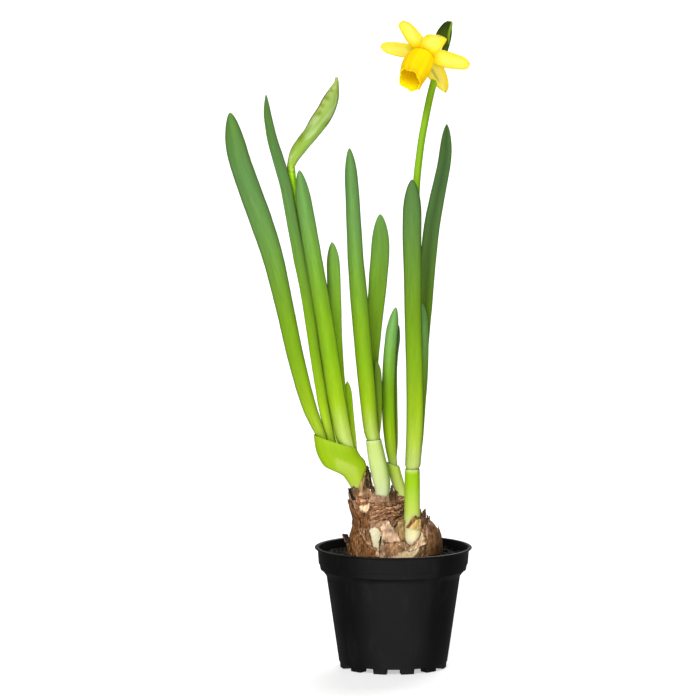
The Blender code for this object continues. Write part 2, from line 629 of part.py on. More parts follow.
def make_pot(materials):
    """The pot: a turned profile, feet drawn out of its base, and drainage holes."""
    rim_bottom = POT_HEIGHT - LIP_HEIGHT
    outside = [
        (CENTRE_HOLE_RADIUS, FOOT_HEIGHT),
        (FOOT_INNER_RADIUS, FOOT_HEIGHT),
        (BASE_RADIUS, FOOT_HEIGHT),
        (SHOULDER_RADIUS, SHOULDER_FOOT),
        (COLLAR_FOOT_RADIUS - COLLAR_STEP, COLLAR_FOOT - 0.3),
        (COLLAR_FOOT_RADIUS, COLLAR_FOOT),
        (COLLAR_LINE_RADIUS - 0.3, COLLAR_LINE - 0.3),
        (COLLAR_LINE_RADIUS, COLLAR_LINE),
        (COLLAR_RADIUS, rim_bottom - 0.4),
        (RIM_RADIUS - 0.2, rim_bottom),
        (RIM_RADIUS, POT_HEIGHT - 0.3),
        (RIM_RADIUS - 0.3, POT_HEIGHT),
    ]
    inside = [
        (COLLAR_RADIUS - WALL + 0.4, POT_HEIGHT),
        (COLLAR_RADIUS - WALL, POT_HEIGHT - 0.6),
        (COLLAR_LINE_RADIUS - WALL - 0.2, COLLAR_LINE),
        (COLLAR_FOOT_RADIUS - WALL - 0.4, COLLAR_FOOT + 0.2),
        (SHOULDER_RADIUS - WALL, SHOULDER_FOOT + 0.3),
        (BASE_RADIUS - WALL, FOOT_HEIGHT + WALL),
        (CENTRE_HOLE_RADIUS, FOOT_HEIGHT + WALL),
    ]
    profile = outside + inside
    body = bmesh.new()
    verts = [body.verts.new((radius * MM, 0.0, z * MM)) for radius, z in profile]
    edges = [body.edges.new(pair) for pair in zip(verts, verts[1:] + verts[:1])]
    bmesh.ops.spin(
        body, geom=verts + edges, cent=(0.0, 0.0, 0.0), axis=(0.0, 0.0, 1.0), angle=2.0 * math.pi,
        steps=POT_SEGMENTS, use_merge=True,
    )
    bmesh.ops.recalc_face_normals(body, faces=body.faces)
    draw_feet(body)
    pot = add_node("pot", body, materials["black_plastic"])
    drains = []
    for i in range(DRAIN_HOLES):
        turn = 2.0 * math.pi * (i + 0.5) / DRAIN_HOLES
        x = DRAIN_CIRCLE * math.cos(turn)
        y = DRAIN_CIRCLE * math.sin(turn)
        cutter = bmesh.new()
        bmesh.ops.create_cone(
            cutter, cap_ends=True, segments=DRAIN_SIDES, depth=4.0 * WALL * MM,
            radius1=DRAIN_RADIUS * MM, radius2=DRAIN_RADIUS * MM,
            matrix=Matrix.Translation(Vector((x, y, FOOT_HEIGHT + WALL / 2.0)) * MM),
        )
        drains.append(add_node("drain", cutter, materials["black_plastic"]))
    combine(pot, drains, "DIFFERENCE")
    return pot


def draw_feet(body):
    """Draws the feet down from the outer ring of the base, with a gap as wide as a foot after each."""
    period = 360.0 / FEET
    chosen = []
    for face in body.faces:
        middle = face.calc_center_median()
        radius = math.hypot(middle.x, middle.y) / MM
        turn = math.degrees(math.atan2(middle.y, middle.x)) % period
        flat = abs(middle.z - FOOT_HEIGHT * MM) < MERGE
        if flat and radius > FOOT_INNER_RADIUS and period / 4.0 < turn < 3.0 * period / 4.0:
            chosen.append(face)
    grown = bmesh.ops.extrude_face_region(body, geom=chosen)["geom"]
    verts = [item for item in grown if isinstance(item, bmesh.types.BMVert)]
    middle_radius = (FOOT_INNER_RADIUS + BASE_RADIUS) / 2.0 * MM
    for vert in verts:
        turn = math.atan2(vert.co.y, vert.co.x)
        centre = math.radians((math.degrees(turn) // period + 0.5) * period)
        turn = centre + (turn - centre) * FOOT_NARROWING
        radius = math.hypot(vert.co.x, vert.co.y)
        radius = middle_radius + (radius - middle_radius) * FOOT_NARROWING
        vert.co = (radius * math.cos(turn), radius * math.sin(turn), 0.0)
    bmesh.ops.delete(body, geom=chosen, context="FACES_ONLY")


def make_soil(materials, bulbs):
    """The soil: it fills the pot with a clearance, is lumpy on top and has a hole round each bulb."""
    inset = WALL + GAP + 0.3
    side = [
        (BASE_RADIUS - inset, FOOT_HEIGHT + WALL + GAP),
        (SHOULDER_RADIUS - inset, SHOULDER_FOOT + 0.6),
        (COLLAR_FOOT_RADIUS - inset - 0.3, COLLAR_FOOT + 0.6),
        (COLLAR_LINE_RADIUS - inset, COLLAR_LINE + 0.4),
        (COLLAR_LINE_RADIUS - inset + 0.1, SOIL_LEVEL - 1.2),
    ]
    rings = []
    for radius, z in side:
        turns = [2.0 * math.pi * i / SOIL_SIDES for i in range(SOIL_SIDES)]
        rings.append([(radius * math.cos(t), radius * math.sin(t), z) for t in turns])
    top = COLLAR_LINE_RADIUS - inset - 0.6
    for step in range(SOIL_RINGS):
        share = 1.0 - step / SOIL_RINGS
        ring = []
        for i in range(SOIL_SIDES):
            turn = 2.0 * math.pi * i / SOIL_SIDES
            x = top * share * math.cos(turn)
            y = top * share * math.sin(turn)
            lump = noise.noise(Vector((x, y, 0.0)) / SOIL_LUMP_SIZE) * SOIL_LUMPS
            ring.append((x, y, SOIL_LEVEL + SOIL_MOUND * (1.0 - share * share) + lump))
        rings.append(ring)
    soil = add_node("soil", loft(rings), materials["peat"])
    skin = materials["bulb_skin"]
    holes = [add_node("hole", loft(bulb_rings(rows, GAP)), skin) for rows in bulbs]
    combine(soil, holes, "DIFFERENCE")
    return soil


def make_bulb(name, materials, rows, noses, flakes, cuts):
    """A bulb with its noses and torn flakes, less the clearances of what stands in it or beside it."""
    skin = materials["bulb_skin"]
    bulb = add_node(name, loft(bulb_rings(rows)), skin)
    added = [add_node("nose", loft(round_stem(spline(nose, 2), NOSE_SIDES)), skin) for nose in noses]
    added += [add_node("flake", flake(*values), skin) for values in flakes]
    combine(bulb, added, "UNION")
    combine(bulb, [add_node("cut", body, skin) for body in cuts], "DIFFERENCE")
    return bulb


def make_perianth(materials):
    """The flower's tube and its six petals, in two layers, joined as one."""
    yellow = materials["petal_yellow"]
    perianth = add_node("perianth", loft(axis_rings(TUBE, TUBE_SIDES)), yellow)
    petals = []
    for angle, layer, bend, fold, long_share, wide_share in PETALS:
        turn = math.radians(angle)
        out = on_axis(0.0, 1.0, turn) - FLOWER_CENTRE
        across = FLOWER_AXIS.cross(out)
        rings = []
        for row in range(PETAL_ROWS + 1):
            share = row / PETAL_ROWS
            radius = PETAL_ROOT + (PETAL_LENGTH * long_share - PETAL_ROOT) * share
            swell = math.sin(math.pi * min(PETAL_START + (1.0 - PETAL_START) * share, PETAL_STOP))
            width = PETAL_WIDTH * wide_share * swell ** PETAL_FULLNESS
            centre = FLOWER_CENTRE + out * radius + FLOWER_AXIS * (layer + bend * share * share)
            front = []
            back = []
            for u in PETAL_ACROSS:
                point = centre + across * (u * width / 2.0) + FLOWER_AXIS * (fold * share * u * u)
                front.append(point + FLOWER_AXIS * (PETAL_THICKNESS / 2.0))
                back.append(point - FLOWER_AXIS * (PETAL_THICKNESS / 2.0))
            rings.append(front + back[::-1])
        petals.append(add_node("petal", loft(rings), yellow))
    combine(perianth, petals, "UNION")
    return perianth


def make_corona(materials):
    """The trumpet: a cup with a wavy mouth."""
    length = CORONA[-1][0]

    def ring(distance, radius):
        flare = max(distance / length - 0.45, 0.0) / 0.55
        points = []
        for i in range(CORONA_SIDES):
            turn = 2.0 * math.pi * i / CORONA_SIDES
            wave = math.sin(CORONA_FRILLS * turn) + 0.5 * math.sin((2 * CORONA_FRILLS + 1) * turn + 1.0)
            lobe = CORONA_LOBE_LENGTH * flare * flare * math.cos(CORONA_FRILLS * turn)
            wavy = radius * (1.0 + CORONA_FRILL_DEPTH * flare * flare * wave)
            points.append(on_axis(distance + lobe, wavy, turn))
        return points

    outside = [ring(distance, radius) for distance, radius in CORONA]
    inside = [ring(distance, radius - CORONA_WALL) for distance, radius in reversed(CORONA[1:])]
    floor = ring(CORONA[0][0] + CORONA_WALL, CORONA[0][1] - CORONA_WALL)
    return add_node("corona", loft(outside + inside + [floor]), materials["corona_yellow"])


def make_stamens(materials):
    """Six stamens round a style, on one small base."""
    colour = materials["stamen_yellow"]
    start, stop = STAMEN_BASE
    wide = STAMEN_CIRCLE + ANTHER[2] + 0.5
    stamens = add_node("stamens", loft(axis_rings([(start, wide), (stop, wide)], 18)), colour)
    added = []
    for i in range(STAMENS):
        centre = (STAMEN_CIRCLE, 2.0 * math.pi * (i + 0.5) / STAMENS)
        for low, high, radius in (FILAMENT, ANTHER):
            rows = [(low, radius * 0.8), (low + 0.4, radius), (high - 0.4, radius), (high, radius * 0.6)]
            added.append(add_node("stamen", loft(axis_rings(rows, STAMEN_SIDES, centre)), colour))
    for low, high, radius in (STYLE, STIGMA):
        rows = [(low, radius * 0.9), (low + 0.4, radius), (high - 0.3, radius), (high, radius * 0.7)]
        added.append(add_node("style", loft(axis_rings(rows, 8)), colour))
    combine(stamens, added, "UNION")
    return stamens


def make_plant(materials):
    """Every sheath, leaf and stem, and the bud and spathe."""
    sheaths = {
        "sheath_left": (SHEATH_LEFT, 5.5),
        "sheath_middle": (SHEATH_MIDDLE, 4.0),
        "sheath_rear": (SHEATH_REAR, 4.0),
        "sheath_right": (SHEATH_RIGHT, 4.0),
    }
    for name, (rows, floor_row) in sheaths.items():
        add_node(name, sheath_body(rows, floor_row), materials["sheath_green"])
    for name, values in LEAVES.items():
        add_node(name, blade(*values), materials["leaf_green"])
    bud_stem = at_distances(STEM_BUD, every(STEM_STEP))
    add_node("stem_bud", loft(round_stem(bud_stem, STEM_SIDES)), materials["stem_green"])
    straight = at_distances(STEM_FLOWER, every(STEM_STEP))
    hook = at_distances([STEM_FLOWER[-1], *FLOWER_STALK], every(STALK_STEP))
    add_node("stem_flower", loft(round_stem(straight + hook[1:], STEM_SIDES)), materials["stem_green"])
    bud_rings = [outline_ring(row, BUD_SIDES, 2.0) for row in spline(BUD, 2)]
    add_node("bud", loft(bud_rings), materials["bud_green"])
    add_node("spathe", blade(*SPATHE), materials["spathe_green"])


def settle():
    """Moves the whole part so that the middle of its box, at floor level, is the origin."""
    bpy.context.view_layer.update()
    nodes = [item for item in bpy.data.objects if item.type == "MESH"]
    corners = [item.matrix_world @ Vector(corner) for item in nodes for corner in item.bound_box]
    middle = [(min(c[i] for c in corners) + max(c[i] for c in corners)) / 2.0 for i in range(2)]
    plant = bpy.data.objects.new("potted_daffodil", None)
    bpy.context.scene.collection.objects.link(plant)
    plant.location = (-middle[0], -middle[1], -min(c.z for c in corners))
    for node in nodes:
        node.parent = plant
    bpy.context.view_layer.update()


def main():
    clear_scene()
    materials = make_materials()
    make_pot(materials)
    make_soil(materials, (BULB_LEFT, BULB_RIGHT))
    make_bulb(
        "bulb_left", materials, BULB_LEFT, NOSES.values(), LEFT_FLAKES,
        [
            loft(bulb_rings(BULB_RIGHT, GAP)),
            sheath_socket(SHEATH_LEFT, 2),
            sheath_socket(SHEATH_MIDDLE, 2),
            sheath_socket(SHEATH_REAR, 2),
        ],
    )
    make_bulb("bulb_right", materials, BULB_RIGHT, (), RIGHT_FLAKES, [sheath_socket(SHEATH_RIGHT, 3)])
    make_plant(materials)
    make_perianth(materials)
    make_corona(materials)
    make_stamens(materials)
    settle()


main()
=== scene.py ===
"""Looks of the potted daffodil: the pot, its soil, two bulbs in papery skins, four shoots of leaves, a bud
and a flower.

Lengths are millimetres in the pot's own frame: x to the right, y away from the viewer and z up from the
floor, with the pot's axis at x = y = 0. spot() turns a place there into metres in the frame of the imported
part. Colours are linear red, green and blue.
"""

import math
import random

import bmesh
import bpy
from mathutils import Matrix, Vector, noise
from mathutils.bvhtree import BVHTree


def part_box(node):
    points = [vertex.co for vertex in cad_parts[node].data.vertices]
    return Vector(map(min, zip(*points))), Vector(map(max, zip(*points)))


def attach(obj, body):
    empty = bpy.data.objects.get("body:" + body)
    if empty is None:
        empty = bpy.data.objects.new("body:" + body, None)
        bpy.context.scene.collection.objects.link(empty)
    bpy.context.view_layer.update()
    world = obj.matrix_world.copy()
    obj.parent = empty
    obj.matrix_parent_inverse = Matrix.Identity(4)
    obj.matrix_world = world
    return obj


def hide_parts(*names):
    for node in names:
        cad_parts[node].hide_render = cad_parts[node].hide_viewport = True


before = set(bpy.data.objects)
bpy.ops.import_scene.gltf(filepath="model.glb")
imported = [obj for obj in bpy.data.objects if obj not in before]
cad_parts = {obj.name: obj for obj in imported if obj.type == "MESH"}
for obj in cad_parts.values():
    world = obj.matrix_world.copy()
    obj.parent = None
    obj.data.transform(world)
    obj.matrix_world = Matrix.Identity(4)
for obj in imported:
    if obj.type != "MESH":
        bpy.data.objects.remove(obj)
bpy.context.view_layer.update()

MM = 0.001
MERGE = 0.000001
pot_low, pot_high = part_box("pot")
POT_X = (pot_low.x + pot_high.x) / 2.0
POT_Y = (pot_low.y + pot_high.y) / 2.0


# Camera, lights and floor
CAMERA_PLACE = (-25.94, -2500.0, 445.2)
CAMERA_PITCH = 5.983
CAMERA_LENS = 228.175
SENSOR_WIDTH = 36.0
# Each light: the side it comes from in degrees (0 is the viewer's, 90 the right), its height in degrees, its
# strength and how wide it looks in degrees
LIGHTS = {
    "key": (-26.0, 36.0, 1.62, 26.0),
    "back": (165.0, 48.0, 2.2, 40.0),
}
# The softbox in front: the way to its middle, the cosines of its outer and inner edge, and its brightness
SOFTBOX = (0.05, -0.88, -0.47)
SOFTBOX_EDGES = (0.34, 0.80)
SOFTBOX_BRIGHTNESS = 1.94
AMBIENT = 0.17
BACKGROUND = 1.05
WHITE = (1.0, 1.0, 1.0, 1.0)
FLOOR_COLOUR = (0.72, 0.72, 0.72, 1.0)
FLOOR_GLOW = 0.5
# How far the camera sees, how wide the floor is and how far it lies below the pot, all three in metres
CAMERA_REACH = 100.0
FLOOR_SIZE = 80.0
FLOOR_DROP = 0.0002

# How finely a route is followed before rows are picked from it at given distances
STEPS_PER_SPAN = 24


def spot(place):
    """A place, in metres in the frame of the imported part."""
    x, y, z = place
    return Vector((POT_X + x * MM, POT_Y + y * MM, z * MM))


def mix(first, second, share):
    return tuple(a + (b - a) * share for a, b in zip(first, second))


def clamp(value, low=0.0, high=1.0):
    return min(max(value, low), high)


def step(low, high, value):
    """0 below low, 1 above high, and smooth between them."""
    share = clamp((value - low) / (high - low))
    return share * share * (3.0 - 2.0 * share)


def facing(turn, towards, width):
    """1 on the side that faces a turn in degrees, falling to 0 at a width to either side."""
    away = abs((math.degrees(turn) - towards + 180.0) % 360.0 - 180.0)
    return 1.0 - step(0.0, width, away)


def ramp(stops, value):
    """The colour at a value, between stops of value and colour."""
    if value <= stops[0][0]:
        return stops[0][1]
    for (low, first), (high, second) in zip(stops, stops[1:]):
        if value <= high:
            return mix(first, second, (value - low) / (high - low))
    return stops[-1][1]


def shade(colour, factor):
    return tuple(min(channel * factor, 1.0) for channel in colour)


def spline(rows, per_span):
    """Rows of numbers on a smooth curve through the given rows."""
    ends = [rows[0], *rows, rows[-1]]
    curve = []
    for before, start, stop, after in zip(ends, ends[1:], ends[2:], ends[3:]):
        for part in range(per_span):
            t = part / per_span
            curve.append(tuple(
                b + 0.5 * t * (c - a + t * (2 * a - 5 * b + 4 * c - d + t * (3 * b - a - 3 * c + d)))
                for a, b, c, d in zip(before, start, stop, after)
            ))
    curve.append(tuple(rows[-1]))
    return curve


def at_distances(rows, distances_for):
    """Rows of the curve through rows, at the distances that distances_for gives for its length."""
    curve = spline(rows, STEPS_PER_SPAN)
    reached = [0.0]
    for here, there in zip(curve, curve[1:]):
        reached.append(reached[-1] + (Vector(there[:3]) - Vector(here[:3])).length)
    picked = []
    index = 0
    for distance in distances_for(reached[-1]):
        while index < len(curve) - 2 and reached[index + 1] < distance:
            index += 1
        share = (distance - reached[index]) / (reached[index + 1] - reached[index])
        picked.append(mix(curve[index], curve[index + 1], share))
    return picked


def directions(points):
    """The way the curve goes at each of its points."""
    last = len(points) - 1
    return [(points[min(i + 1, last)] - points[max(i - 1, 0)]).normalized() for i in range(last + 1)]


def every(spacing):
    """Distances about a spacing apart along any length."""
    def distances(length):
        count = max(round(length / spacing), 1)
        return [length * i / count for i in range(count + 1)]
    return distances


def turns_of(count):
    """Turns in radians, evenly spread round a circle."""
    return [2.0 * math.pi * i / count for i in range(count)]


def there_and_back(across):
    """The way round a thin blade: over its upper face (1), then back over its lower face (-1)."""
    return [(u, 1) for u in across] + [(u, -1) for u in reversed(across)]


def shell(rings):
    """A closed body: a grid rolled into a tube over rings of points.

    Each point has a place, a colour and its place in the grain that the veins follow.
    """
    columns = len(rings[0])
    spans = len(rings) - 1
    body = bmesh.new()
    bmesh.ops.create_grid(body, x_segments=columns, y_segments=spans, size=1.0)
    tint = body.verts.layers.float_color.new("tint")
    grain = body.verts.layers.float_vector.new("grain")
    for vert in body.verts:
        i = round((vert.co.x + 1.0) / 2.0 * columns) % columns
        j = round((vert.co.y + 1.0) / 2.0 * spans)
        place, colour, grain_place = rings[j][i]
        vert.co = spot(place)
        vert[tint] = (*colour, 1.0)
        vert[grain] = grain_place
    bmesh.ops.remove_doubles(body, verts=body.verts, dist=MERGE)
    rims = [edge for edge in body.edges if edge.is_boundary]
    bmesh.ops.holes_fill(body, edges=rims, sides=0)
    bmesh.ops.recalc_face_normals(body, faces=body.faces)
    return body


def add_object(name, data):
    made = bpy.data.objects.new(name, data)
    bpy.context.scene.collection.objects.link(made)
    return made


def add_mesh(name, body):
    """An object made from a bmesh that isn't needed after it."""
    mesh = bpy.data.meshes.new(name)
    body.to_mesh(mesh)
    body.free()
    return add_object(name, mesh)


def finished_mesh(made):
    """The mesh of an object once its modifiers have worked on it."""
    depsgraph = bpy.context.evaluated_depsgraph_get()
    return bpy.data.meshes.new_from_object(made.evaluated_get(depsgraph))


def remeshed(node, voxel):
    """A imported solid's own form, remeshed fine."""
    body = bmesh.new()
    body.from_mesh(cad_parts[node].data)
    bmesh.ops.remove_doubles(body, verts=body.verts, dist=MERGE)
    form = add_mesh(node + "_form", body)
    remesh = form.modifiers.new("voxels", "REMESH")
    remesh.mode = "VOXEL"
    remesh.voxel_size = voxel * MM
    fine = finished_mesh(form)
    bpy.data.objects.remove(form, do_unlink=True)
    body = bmesh.new()
    body.from_mesh(fine)
    bpy.data.meshes.remove(fine)
    return body


def piece(name, body, material, slot, *nodes):
    """Turns a bmesh into a smooth piece that stands for its nodes, where it has any."""
    for face in body.faces:
        face.smooth = True
    made = add_mesh(name, body)
    made.data.materials.append(material)
    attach(made, "root")
    if nodes:
        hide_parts(*nodes)
    return made


# Materials


def new_material(name, roughness, specular):
    material = bpy.data.materials.new(name)
    material.use_nodes = True
    shader = material.node_tree.nodes["Principled BSDF"]
    shader.inputs["Roughness"].default_value = roughness
    shader.inputs["Specular IOR Level"].default_value = specular
    return material, shader


def add_node(owner, kind, settings=(), **values):
    """Adds a node to a material or the world, sets its properties and fills its sockets with values or links.

    A key such as i2 means the socket with that number, and any other key a socket's name.
    """
    node = owner.node_tree.nodes.new(kind)
    for key, value in dict(settings).items():
        setattr(node, key, value)
    for key, value in values.items():
        socket = node.inputs[int(key[1:])] if key[0] == "i" and key[1:].isdigit() else node.inputs[key]
        if isinstance(value, bpy.types.NodeSocket):
            owner.node_tree.links.new(value, socket)
        else:
            socket.default_value = value
    return node


def attribute(material, name):
    return add_node(material, "ShaderNodeAttribute", {"attribute_name": name}).outputs


def own_place(material):
    """Places in metres on the object itself."""
    return add_node(material, "ShaderNodeTexCoord").outputs["Object"]


def streaks(material, vector, scale, stretch, detail=4.0):
    """Noise that is drawn out along the third axis of its vector."""
    place = add_node(material, "ShaderNodeMapping", Vector=vector, Scale=(scale, scale, scale * stretch))
    return add_node(
        material, "ShaderNodeTexNoise", Vector=place.outputs[0], Scale=1.0, Detail=detail, Roughness=0.6,
    ).outputs["Fac"]


def spread(owner, value, low, high, to_low, to_high, shape="LINEAR"):
    """A number that goes from to_low to to_high while the value goes from low to high."""
    node = add_node(owner, "ShaderNodeMapRange", {"interpolation_type": shape}, Value=value)
    for socket, amount in zip(("From Min", "From Max", "To Min", "To Max"), (low, high, to_low, to_high)):
        node.inputs[socket].default_value = amount
    return node.outputs[0]


def maths(material, operation, *numbers):
    sockets = {f"i{i}": number for i, number in enumerate(numbers)}
    return add_node(material, "ShaderNodeMath", {"operation": operation}, **sockets).outputs[0]


def times(material, colour, factor):
    """A colour made lighter or darker by a number."""
    node = add_node(material, "ShaderNodeVectorMath", {"operation": "SCALE"}, i0=colour, Scale=factor)
    return node.outputs[0]


def two_colours(material, share, first, second):
    """A colour between two others."""
    return add_node(
        material, "ShaderNodeMix", {"data_type": "RGBA"}, i0=share, i6=(*first, 1.0), i7=(*second, 1.0),
    ).outputs[2]


def paint(material, shader, colour, gloss=None):
    """Gives the shader its colour, and its roughness where that varies."""
    material.node_tree.links.new(colour, shader.inputs["Base Color"])
    if gloss is not None:
        material.node_tree.links.new(gloss, shader.inputs["Roughness"])


def bump(material, shader, layers):
    """Raises the surface by one layer after another of height, strength and depth in millimetres."""
    normal = None
    for height, strength, depth in layers:
        node = add_node(material, "ShaderNodeBump", Height=height, Strength=strength, Distance=depth * MM)
        if normal is not None:
            material.node_tree.links.new(normal, node.inputs["Normal"])
        normal = node.outputs[0]
    material.node_tree.links.new(normal, shader.inputs["Normal"])


# Skins of all that grows: roughness, how fine the veins are, how deep they are in millimetres, how much the
# veins and the mottling change the colour, how much the skin reflects and how much light it lets through
PLANT_SKINS = {
    "leaf_skin": (0.5, 5.0, 0.12, 0.13, 0.09, 0.11, 0.08),
    "stem_skin": (0.48, 3.5, 0.06, 0.05, 0.04, 0.15, 0.10),
    "sheath_skin": (0.5, 3.0, 0.06, 0.05, 0.04, 0.13, 0.15),
    "bud_skin": (0.5, 3.2, 0.10, 0.08, 0.08, 0.15, 0.20),
    "spathe_skin": (0.55, 5.0, 0.12, 0.20, 0.14, 0.08, 0.0),
    "petal_skin": (0.55, 3.6, 0.05, 0.08, 0.06, 0.12, 0.9),
    "trumpet_skin": (0.55, 2.4, 0.06, 0.04, 0.05, 0.10, 0.0),
    "stamen_skin": (0.65, 6.0, 0.10, 0.10, 0.08, 0.3, 0.1),
}
# How far light of each colour spreads in a skin, and the length in millimetres that this is a share of
GLOW_SPREAD = (0.8, 0.9, 0.3)
GLOW_LENGTH = 1.2


def plant_skin(name, roughness, vein_scale, vein_depth, vein_contrast, mottle, specular, glow):
    """A material for what grows: the piece's own tint, with fine veins lengthwise and soft mottling."""
    material, shader = new_material(name, roughness, specular)
    tint = attribute(material, "tint")["Color"]
    grain = attribute(material, "grain")["Vector"]
    veins = streaks(material, grain, vein_scale, 0.012)
    coarse = streaks(material, grain, vein_scale * 0.16, 0.10, detail=3.0)
    fine = streaks(material, grain, vein_scale * 2.2, 0.35, detail=2.0)
    light = spread(material, veins, 0.3, 0.7, 1.0 - vein_contrast, 1.0 + vein_contrast)
    patch = spread(material, coarse, 0.3, 0.7, 1.0 - mottle, 1.0 + mottle)
    gloss = spread(material, coarse, 0.3, 0.7, roughness - 0.08, roughness + 0.10)
    paint(material, shader, times(material, times(material, tint, light), patch), gloss)
    if glow:
        shader.inputs["Subsurface Weight"].default_value = glow
        shader.inputs["Subsurface Radius"].default_value = GLOW_SPREAD
        shader.inputs["Subsurface Scale"].default_value = GLOW_LENGTH * MM
    bump(material, shader, [(veins, 0.6, vein_depth), (fine, 0.25, vein_depth * 0.5)])
    return material


def papery_skin():
    """Dry bulb skin: fibres that run upwards, blotches, and a net of fine creases darkened with painted shade.

    The fourth number of the tint says how marked the skin is.
    """
    material, shader = new_material("papery_bulb_skin", 0.72, 0.08)
    tint = attribute(material, "tint")
    place = own_place(material)
    fibres = streaks(material, place, 1400.0, 0.16, detail=5.0)
    crumbs = streaks(material, place, 800.0, 0.7, detail=6.0)
    wander = streaks(material, place, 380.0, 0.45, detail=7.0)
    away = maths(material, "ABSOLUTE", maths(material, "SUBTRACT", wander, 0.5))
    # The creases are darkened: painted shade
    crease = spread(material, away, 0.0, 0.03, 0.45, 1.0)
    light = spread(material, fibres, 0.3, 0.7, 0.66, 1.36)
    patch = spread(material, crumbs, 0.35, 0.65, 0.70, 1.28)
    marks = maths(material, "MULTIPLY", maths(material, "MULTIPLY", light, patch), crease)
    marks = add_node(material, "ShaderNodeMix", i0=tint["Alpha"], i2=1.0, i3=marks).outputs[0]
    gloss = spread(material, fibres, 0.3, 0.7, 0.48, 0.78)
    paint(material, shader, times(material, tint["Color"], marks), gloss)
    bump(material, shader, [(crease, 0.5, 0.3), (fibres, 0.6, 0.2), (crumbs, 0.5, 0.25)])
    return material


def moulded_plastic():
    """Black pot plastic: a little dust, fine grain and faint rubbed marks."""
    material, shader = new_material("black_moulded_plastic", 0.4, 0.10)
    place = own_place(material)
    grain = streaks(material, place, 2600.0, 1.0, detail=3.0)
    rubbed = streaks(material, place, 160.0, 0.25, detail=6.0)
    cloudy = streaks(material, place, 45.0, 0.8, detail=4.0)
    dust = spread(material, rubbed, 0.52, 0.78, 0.0, 1.0)
    colour = two_colours(material, dust, (0.0024, 0.0024, 0.0025), (0.0075, 0.007, 0.006))
    paint(material, shader, colour, spread(material, cloudy, 0.35, 0.65, 0.34, 0.52))
    bump(material, shader, [(grain, 0.15, 0.05), (rubbed, 0.12, 0.12)])
    return material


def damp_peat():
    """Dark, damp peat with lighter fibres."""
    material, shader = new_material("damp_peat", 0.88, 0.12)
    place = own_place(material)
    crumbs = streaks(material, place, 700.0, 0.9, detail=6.0)
    fibres = streaks(material, place, 1800.0, 0.3, detail=4.0)
    share = spread(material, crumbs, 0.4, 0.7, 0.0, 1.0)
    colour = two_colours(material, share, (0.0020, 0.0014, 0.0010), (0.024, 0.017, 0.011))
    light = spread(material, fibres, 0.35, 0.75, 0.7, 1.8)
    paint(material, shader, times(material, colour, light))
    bump(material, shader, [(crumbs, 1.0, 0.8), (fibres, 0.7, 0.3)])
    return material


# The colour of a leaf at each height above the floor
LEAF_COLOURS = [
    (116.0, (0.44, 0.56, 0.12)),
    (130.0, (0.365, 0.52, 0.03)),
    (150.0, (0.275, 0.445, 0.004)),
    (175.0, (0.195, 0.37, 0.003)),
    (200.0, (0.16, 0.315, 0.006)),
    (225.0, (0.136, 0.285, 0.024)),
    (250.0, (0.115, 0.25, 0.048)),
    (280.0, (0.098, 0.22, 0.054)),
    (312.0, (0.092, 0.21, 0.036)),
]
